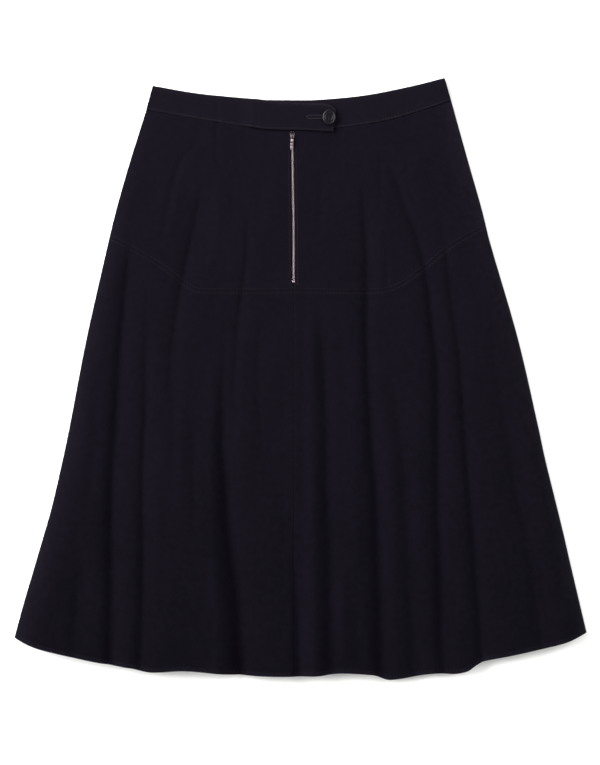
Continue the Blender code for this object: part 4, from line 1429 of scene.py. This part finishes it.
def model_bottom_stop():
    middle, size = (stop_low + stop_high) / 2, stop_high - stop_low
    stop = block("zip_stop_bottom", (size.x, size.y, CHAIN), (middle.x, middle.y, middle.z))
    start_edit(stop)
    choose(stop, lambda place, normal: normal.z > 0.5)
    bpy.ops.mesh.inset(thickness=STAPLE_INSET * MM)
    bpy.ops.transform.translate(value=(0, 0, STAPLE_RAISED * MM))
    end_edit()
    hard_edges(stop, width=0.28)
    stop.data.materials.append(silver)
    return stop


TOP_STOP_Y = 312.3
TOP_STOP_ROUND = 0.7
TOP_STOP_APART = 1.4
TOP_STOP_INSET = 0.3
TOP_STOP_DISH = 0.25


def model_top_stop(word, sign):
    base = float(SUEDE + GAP + folded_front(centre(TOP_STOP_Y), TOP_STOP_Y))
    bpy.ops.mesh.primitive_cylinder_add(
        vertices=20, radius=TOP_STOP_ROUND * MM, depth=CHAIN * MM,
        location=in_metres(centre(TOP_STOP_Y) + sign * TOP_STOP_APART, TOP_STOP_Y, base + CHAIN / 2))
    stop = bpy.context.object
    stop.name = stop.data.name = f"zip_stop_top_{word}"
    bpy.ops.object.transform_apply(location=True, rotation=True, scale=True)
    start_edit(stop)
    choose(stop, lambda place, normal: normal.z > 0.5)
    bpy.ops.mesh.inset(thickness=TOP_STOP_INSET * MM)
    bpy.ops.mesh.extrude_region_move(TRANSFORM_OT_translate={"value": (0, 0, -TOP_STOP_DISH * MM)})
    end_edit()
    hard_edges(stop, width=0.12)
    stop.data.materials.append(dark_reflection_silver)
    return stop


bottom_stop = model_bottom_stop()
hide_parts("zip_bottom_stop")
stops = [bottom_stop, model_top_stop("right", -1), model_top_stop("left", 1)]
for stop in stops:
    stop.data.shade_smooth()
    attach(stop, "skirt")

# %% [markdown]
# ## The slider
#
# A slider is a shallow housing, wide at its mouth where the two chains enter, and narrower where
# they leave it joined. On top stands the crown, a small wire arch that the pull tab hangs on. The
# housing is a block whose lower end is drawn in, and the crown is a ring of points spun through
# half a turn.

# %% Model the slider
slider_low, slider_high = (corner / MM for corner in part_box("zip_slider"))
SLIDER_Y = 307.3
SLIDER_PLATE = 0.9
HINGE_ABOVE_SLIDER = 0.95
SLIDER_TAIL = 0.74  # the share of its width that the plate keeps at its lower end
RIDGE_HALF = 1.3
RIDGE_HIGH = 0.16
MOUTH_FROM = 1.0
MOUTH_SET_BACK = 0.5
NECK_WIDE = 4.4
NECK_SHORTER = 1.0
NECK_OFF_TAPES = 0.05
CROWN_REACH = 2.0
CROWN_WIRE = 0.45
CROWN_FOOT = 0.1  # how far over the plate the arch is centred
hinge = Vector(frame["joints"][0]["pos_m"]) / MM
plate_top = hinge.z - HINGE_ABOVE_SLIDER


def model_slider():
    wide, long = slider_high.x - slider_low.x, slider_high.y - slider_low.y
    x = hinge.x
    plate = block("zip_slider_body", (wide, long, SLIDER_PLATE),
                  (x, SLIDER_Y, plate_top - SLIDER_PLATE / 2))
    start_edit(plate)
    choose(plate, lambda place, normal: normal.y < -0.5)
    bpy.ops.transform.resize(value=(SLIDER_TAIL, 1, 1))
    bpy.ops.mesh.select_all(action="SELECT")
    bpy.ops.mesh.subdivide(number_cuts=2)
    choose(plate, lambda place, normal: normal.z > 0.5 and abs(place.x - x) < RIDGE_HALF)
    bpy.ops.transform.translate(value=(0, 0, RIDGE_HIGH * MM))
    choose(plate, lambda place, normal: normal.y > 0.5 and abs(place.x - x) > MOUTH_FROM)
    bpy.ops.transform.translate(value=(0, -MOUTH_SET_BACK * MM, 0))
    end_edit()
    hard_edges(plate, width=0.22)
    neck_low, neck_high = slider_low.z + NECK_OFF_TAPES, plate_top - SLIDER_PLATE / 2
    neck = block("slider_neck", (NECK_WIDE, long - NECK_SHORTER, neck_high - neck_low),
                 (x, SLIDER_Y, (neck_high + neck_low) / 2))
    hard_edges(neck, width=0.2)
    crown = model_crown(x)
    only(plate)
    neck.select_set(True)
    crown.select_set(True)
    bpy.ops.object.join()
    plate.data.materials.clear()
    plate.data.materials.append(dark_reflection_silver)
    return plate


def model_crown(x):
    """The arch: a ring of points spun from in front of the hinge to behind it."""
    foot = plate_top + CROWN_FOOT
    bpy.ops.mesh.primitive_circle_add(
        vertices=12, radius=CROWN_WIRE * MM, fill_type="NGON",
        location=in_metres(x, SLIDER_Y - CROWN_REACH, foot))
    crown = bpy.context.object
    crown.name = crown.data.name = "slider_crown"
    bpy.ops.object.transform_apply(location=True, rotation=True, scale=True)
    start_edit(crown)
    bpy.ops.mesh.select_all(action="SELECT")
    bpy.ops.mesh.spin(steps=14, angle=-math.pi, center=in_metres(x, SLIDER_Y, foot), axis=(1, 0, 0))
    bpy.ops.mesh.select_all(action="SELECT")
    bpy.ops.mesh.remove_doubles(threshold=0.001 * MM)
    bpy.ops.mesh.normals_make_consistent(inside=False)
    end_edit()
    return crown


slider = model_slider()
slider.data.shade_smooth()
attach(slider, "skirt")
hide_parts("zip_slider")
print(f"slider: {triangles(slider)} triangles")

# %% [markdown]
# ## The pull tab
#
# The tab is a slim stamped bar with a window at its upper end, where the crown passes through. It
# narrows to a neck below the window and to another half way down, swells into a shoulder and tapers
# to its tip. It is drawn out section by section from a single face, as a jeweller would, and its
# window is cut with a second block.

# %% Model the pull
# The last column is painted shade: full in the thin necks between the tab's parts and at its tip,
# standing in for the chain that lies in the tab's shadow there
PullRow = namedtuple("PullRow", "along half thick recess")
PULL_ROWS = (
    PullRow(0.45, 1.5, 0.9, 0.5), PullRow(0.0, 1.8, 0.9, 0.5), PullRow(-2.8, 1.8, 0.9, 0.3),
    PullRow(-3.0, 1.4, 0.35, 1), PullRow(-4.5, 1.4, 0.35, 1), PullRow(-4.6, 1.5, 0.95, 0),
    PullRow(-7.9, 1.5, 0.95, 0), PullRow(-8.1, 1.4, 0.35, 1), PullRow(-9.5, 1.4, 0.35, 1),
    PullRow(-9.6, 1.9, 0.9, 0.1), PullRow(-11.0, 1.8, 0.9, 0.1), PullRow(-12.4, 1.4, 0.6, 0.8),
    PullRow(-13.8, 1.6, 0.9, 0), PullRow(-15.6, 1.4, 0.9, 0.2), PullRow(-17.4, 1.0, 0.8, 0.3),
    PullRow(-18.9, 0.4, 0.5, 1),
)
PULL = 0.9
PULL_TILT = math.radians(2.9)
PULL_SWING = math.radians(-4)
PULL_WINDOW_WIDE = 2.0
PULL_WINDOW_LONG = 2.3


def paint_gap_shade(pull):
    """Stores on each point how much painted shade it gets: most in the necks and at the tip."""
    along = [row.along for row in PULL_ROWS][::-1]
    recess = [row.recess for row in PULL_ROWS][::-1]
    at = np.array([vertex.co.y for vertex in pull.data.vertices]) / MM
    deep = pull.data.attributes.new("recess", "FLOAT", "POINT")
    deep.data.foreach_set("value", np.interp(at, along, recess).astype(np.float32))


def model_pull():
    bpy.ops.mesh.primitive_plane_add(size=1, rotation=(math.pi / 2, 0, 0))
    pull = bpy.context.object
    pull.name = pull.data.name = "zip_pull_tab"
    pull.scale = in_metres(2 * PULL_ROWS[0].half, PULL, 1)
    pull.location = in_metres(0, PULL_ROWS[0].along, 0)
    bpy.ops.object.transform_apply(location=True, rotation=True, scale=True)
    start_edit(pull)
    bpy.ops.mesh.select_all(action="SELECT")
    for before, row in zip(PULL_ROWS, PULL_ROWS[1:]):
        bpy.ops.mesh.extrude_region_move(
            TRANSFORM_OT_translate={"value": in_metres(0, row.along - before.along, 0)})
        bpy.ops.transform.resize(value=(row.half / before.half, 1, row.thick / before.thick))
    bpy.ops.mesh.select_all(action="SELECT")
    bpy.ops.mesh.normals_make_consistent(inside=False)
    end_edit()
    window = block("pull_window", (PULL_WINDOW_WIDE, PULL_WINDOW_LONG, 4 * PULL),
                   (0, -PULL / 2 - PULL_WINDOW_LONG / 2, 0))
    cut = pull.modifiers.new("Window", "BOOLEAN")
    cut.operation = "DIFFERENCE"
    cut.object = window
    apply_modifiers(pull)
    bpy.data.objects.remove(window)
    hard_edges(pull, width=0.16)
    paint_gap_shade(pull)
    turned = Matrix.Rotation(PULL_SWING, 4, "Z") @ Matrix.Rotation(PULL_TILT, 4, "X")
    pull.data.transform(Matrix.Translation(hinge * MM) @ turned)
    pull.data.materials.clear()
    pull.data.materials.append(silver)
    return pull


pull = model_pull()
pull.data.shade_smooth()
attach(pull, "pull_tab")
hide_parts("zip_pull")
print(f"pull: {triangles(pull)} triangles")

# %% [markdown]
# ## The button
#
# The button is a disc, a little taller than wide, with a raised, rounded rim, a dish inside it and
# four holes. It starts as a cylinder, and each row of its table is one extrude of its top face, up
# or down, and one resize. The holes are drilled with cylinders, and two bars of thread hold it down.

# %% Model the button
ButtonRow = namedtuple("ButtonRow", "half tall height")
BUTTON_ROWS = (
    ButtonRow(8.6, 10.1, 1.4), ButtonRow(8.45, 9.9, 2.1), ButtonRow(8.1, 9.5, 2.5),
    ButtonRow(7.5, 8.9, 2.6), ButtonRow(7.2, 8.5, 2.85), ButtonRow(6.95, 8.2, 3.0),
    ButtonRow(6.65, 7.9, 2.85), ButtonRow(6.4, 7.6, 2.45), ButtonRow(5.9, 6.8, 2.3),
    ButtonRow(5.3, 5.6, 2.3), ButtonRow(4.95, 4.95, 2.5), ButtonRow(4.65, 4.65, 2.6),
    ButtonRow(4.35, 4.35, 2.4), ButtonRow(4.0, 4.0, 1.8), ButtonRow(3.7, 3.7, 1.6),
)
BUTTON_FOOT_HEIGHT = 0.4
BUTTON_FOOT = ButtonRow(7.2, 8.5, 0.0)
BUTTON_HOLE = 2.0
BUTTON_HOLE_SPACING = 3.4
BUTTON_HOLES = 4
DRILL_LONG = 12
SMOOTH_UNDER = 32  # degrees
button_low, button_high = (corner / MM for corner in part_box("button"))
button_middle = (button_low + button_high) / 2


def model_button():
    first = BUTTON_ROWS[0]
    depth = first.height - BUTTON_FOOT_HEIGHT
    bpy.ops.mesh.primitive_cylinder_add(
        vertices=80, radius=first.half * MM, depth=depth * MM,
        location=in_metres(button_middle.x, button_middle.y,
                           button_low.z + BUTTON_FOOT_HEIGHT + depth / 2))
    made = bpy.context.object
    made.name = made.data.name = "button_turned"
    made.scale.y = first.tall / first.half
    bpy.ops.object.transform_apply(location=True, rotation=True, scale=True)
    start_edit(made)
    choose(made, lambda place, normal: normal.z > 0.5)
    for before, row in zip(BUTTON_ROWS, BUTTON_ROWS[1:]):
        bpy.ops.mesh.extrude_region_move(
            TRANSFORM_OT_translate={"value": in_metres(0, 0, row.height - before.height)})
        bpy.ops.transform.resize(value=(row.half / before.half, row.tall / before.tall, 1))
    choose(made, lambda place, normal: normal.z < -0.5)
    bpy.ops.mesh.extrude_region_move(
        TRANSFORM_OT_translate={"value": in_metres(0, 0, BUTTON_FOOT.height - BUTTON_FOOT_HEIGHT)})
    bpy.ops.transform.resize(
        value=(BUTTON_FOOT.half / first.half, BUTTON_FOOT.tall / first.tall, 1))
    end_edit()
    for k in range(BUTTON_HOLES):
        turn = math.pi / 4 + math.pi / 2 * k
        reach = BUTTON_HOLE_SPACING / math.sqrt(2)
        bpy.ops.mesh.primitive_cylinder_add(
            vertices=24, radius=BUTTON_HOLE / 2 * MM, depth=DRILL_LONG * MM,
            location=in_metres(button_middle.x + reach * math.cos(turn),
                               button_middle.y + reach * math.sin(turn), button_middle.z))
        drill = bpy.context.object
        cut = made.modifiers.new("Hole", "BOOLEAN")
        cut.operation = "DIFFERENCE"
        cut.object = drill
        apply_modifiers(made)
        bpy.data.objects.remove(drill)
    hard_edges(made, width=0.14, angle=40)
    made.data.materials.clear()
    made.data.materials.append(horn)
    only(made)
    bpy.ops.object.shade_smooth_by_angle(angle=math.radians(SMOOTH_UNDER))
    return made


button = model_button()
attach(button, "skirt")
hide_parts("button")
print(f"button: {triangles(button)} triangles")

# %% Thread in the button's holes
BUTTON_THREADS = 3
THREADS_APART = 0.33
THREAD_LIFT = 0.16
THREAD_ROUND = 0.06  # how much lower a bar's threads lie for each millimetre from its middle
THREAD_STRETCH = (1.75, 0.8, 1.3)


def button_thread_frames():
    frames = []
    top = button_low.z + BUTTON_ROWS[-1].height
    for row in (-1, 1):
        for k in range(BUTTON_THREADS):
            off = (k - (BUTTON_THREADS - 1) / 2) * THREADS_APART
            place = Vector((button_middle.x, button_middle.y + row * BUTTON_HOLE_SPACING / 2 + off,
                            top + THREAD_LIFT - THREAD_ROUND * abs(off)))
            frames.append(frame_at(place, Vector((1, 0, 0)), Vector((0, 0, 1)), THREAD_STRETCH))
    return frames


button_thread = copies("button_thread", stitch_shape, button_thread_frames(), thread)

# %% [markdown]
# ## Table and light
#
# The photo is a cut-out on white. A matt white table under soft light comes close to that, and keeps
# the faint shadow that shows the skirt is lying on something. The brighter light comes from the
# left, low enough to draw the furrows, a weaker one from the right lifts the outer slopes, and a
# pale sky fills in the rest.

# %% Studio
def softbox(name, place, size, power):
    bpy.ops.object.light_add(type="AREA", location=place)
    light = bpy.context.object
    light.name = name
    light.data.shape = "RECTANGLE"
    light.data.size, light.data.size_y = size
    light.data.energy = power
    aim = Vector((0, 0, 0)) - Vector(place)
    light.rotation_euler = aim.to_track_quat("-Z", "Y").to_euler()
    return light


SKY = (1.0, 0.995, 0.985, 1)
SKY_STRENGTH = 0.6
TABLE_WHITE = (0.95, 0.95, 0.94, 1)
TABLE_SIZE = 60  # metres, so that its edge is never in the picture
TABLE_DROP = 0.0004  # metres, so that it doesn't touch the cloth's own underside
softbox("key light", place=(-3.4, 1.6, 2.1), size=(4.6, 2.8), power=610)
softbox("fill light", place=(2.8, 1.2, 2.1), size=(2.2, 2.2), power=110)
world = bpy.data.worlds.new("pale studio")
world.use_nodes = True
sky = world.node_tree.nodes["Background"]
sky.inputs["Color"].default_value = SKY
sky.inputs["Strength"].default_value = SKY_STRENGTH
bpy.context.scene.world = world
bpy.context.scene.view_settings.view_transform = "Standard"

bpy.ops.mesh.primitive_plane_add(size=TABLE_SIZE, location=(0, 0, -TABLE_DROP))
floor = bpy.context.object
floor.name = "floor"
white, _, white_shader, *_ = new_material("white table", roughness=0.9, specular=0.1)
white_shader.inputs["Base Color"].default_value = TABLE_WHITE
floor.data.materials.append(white)
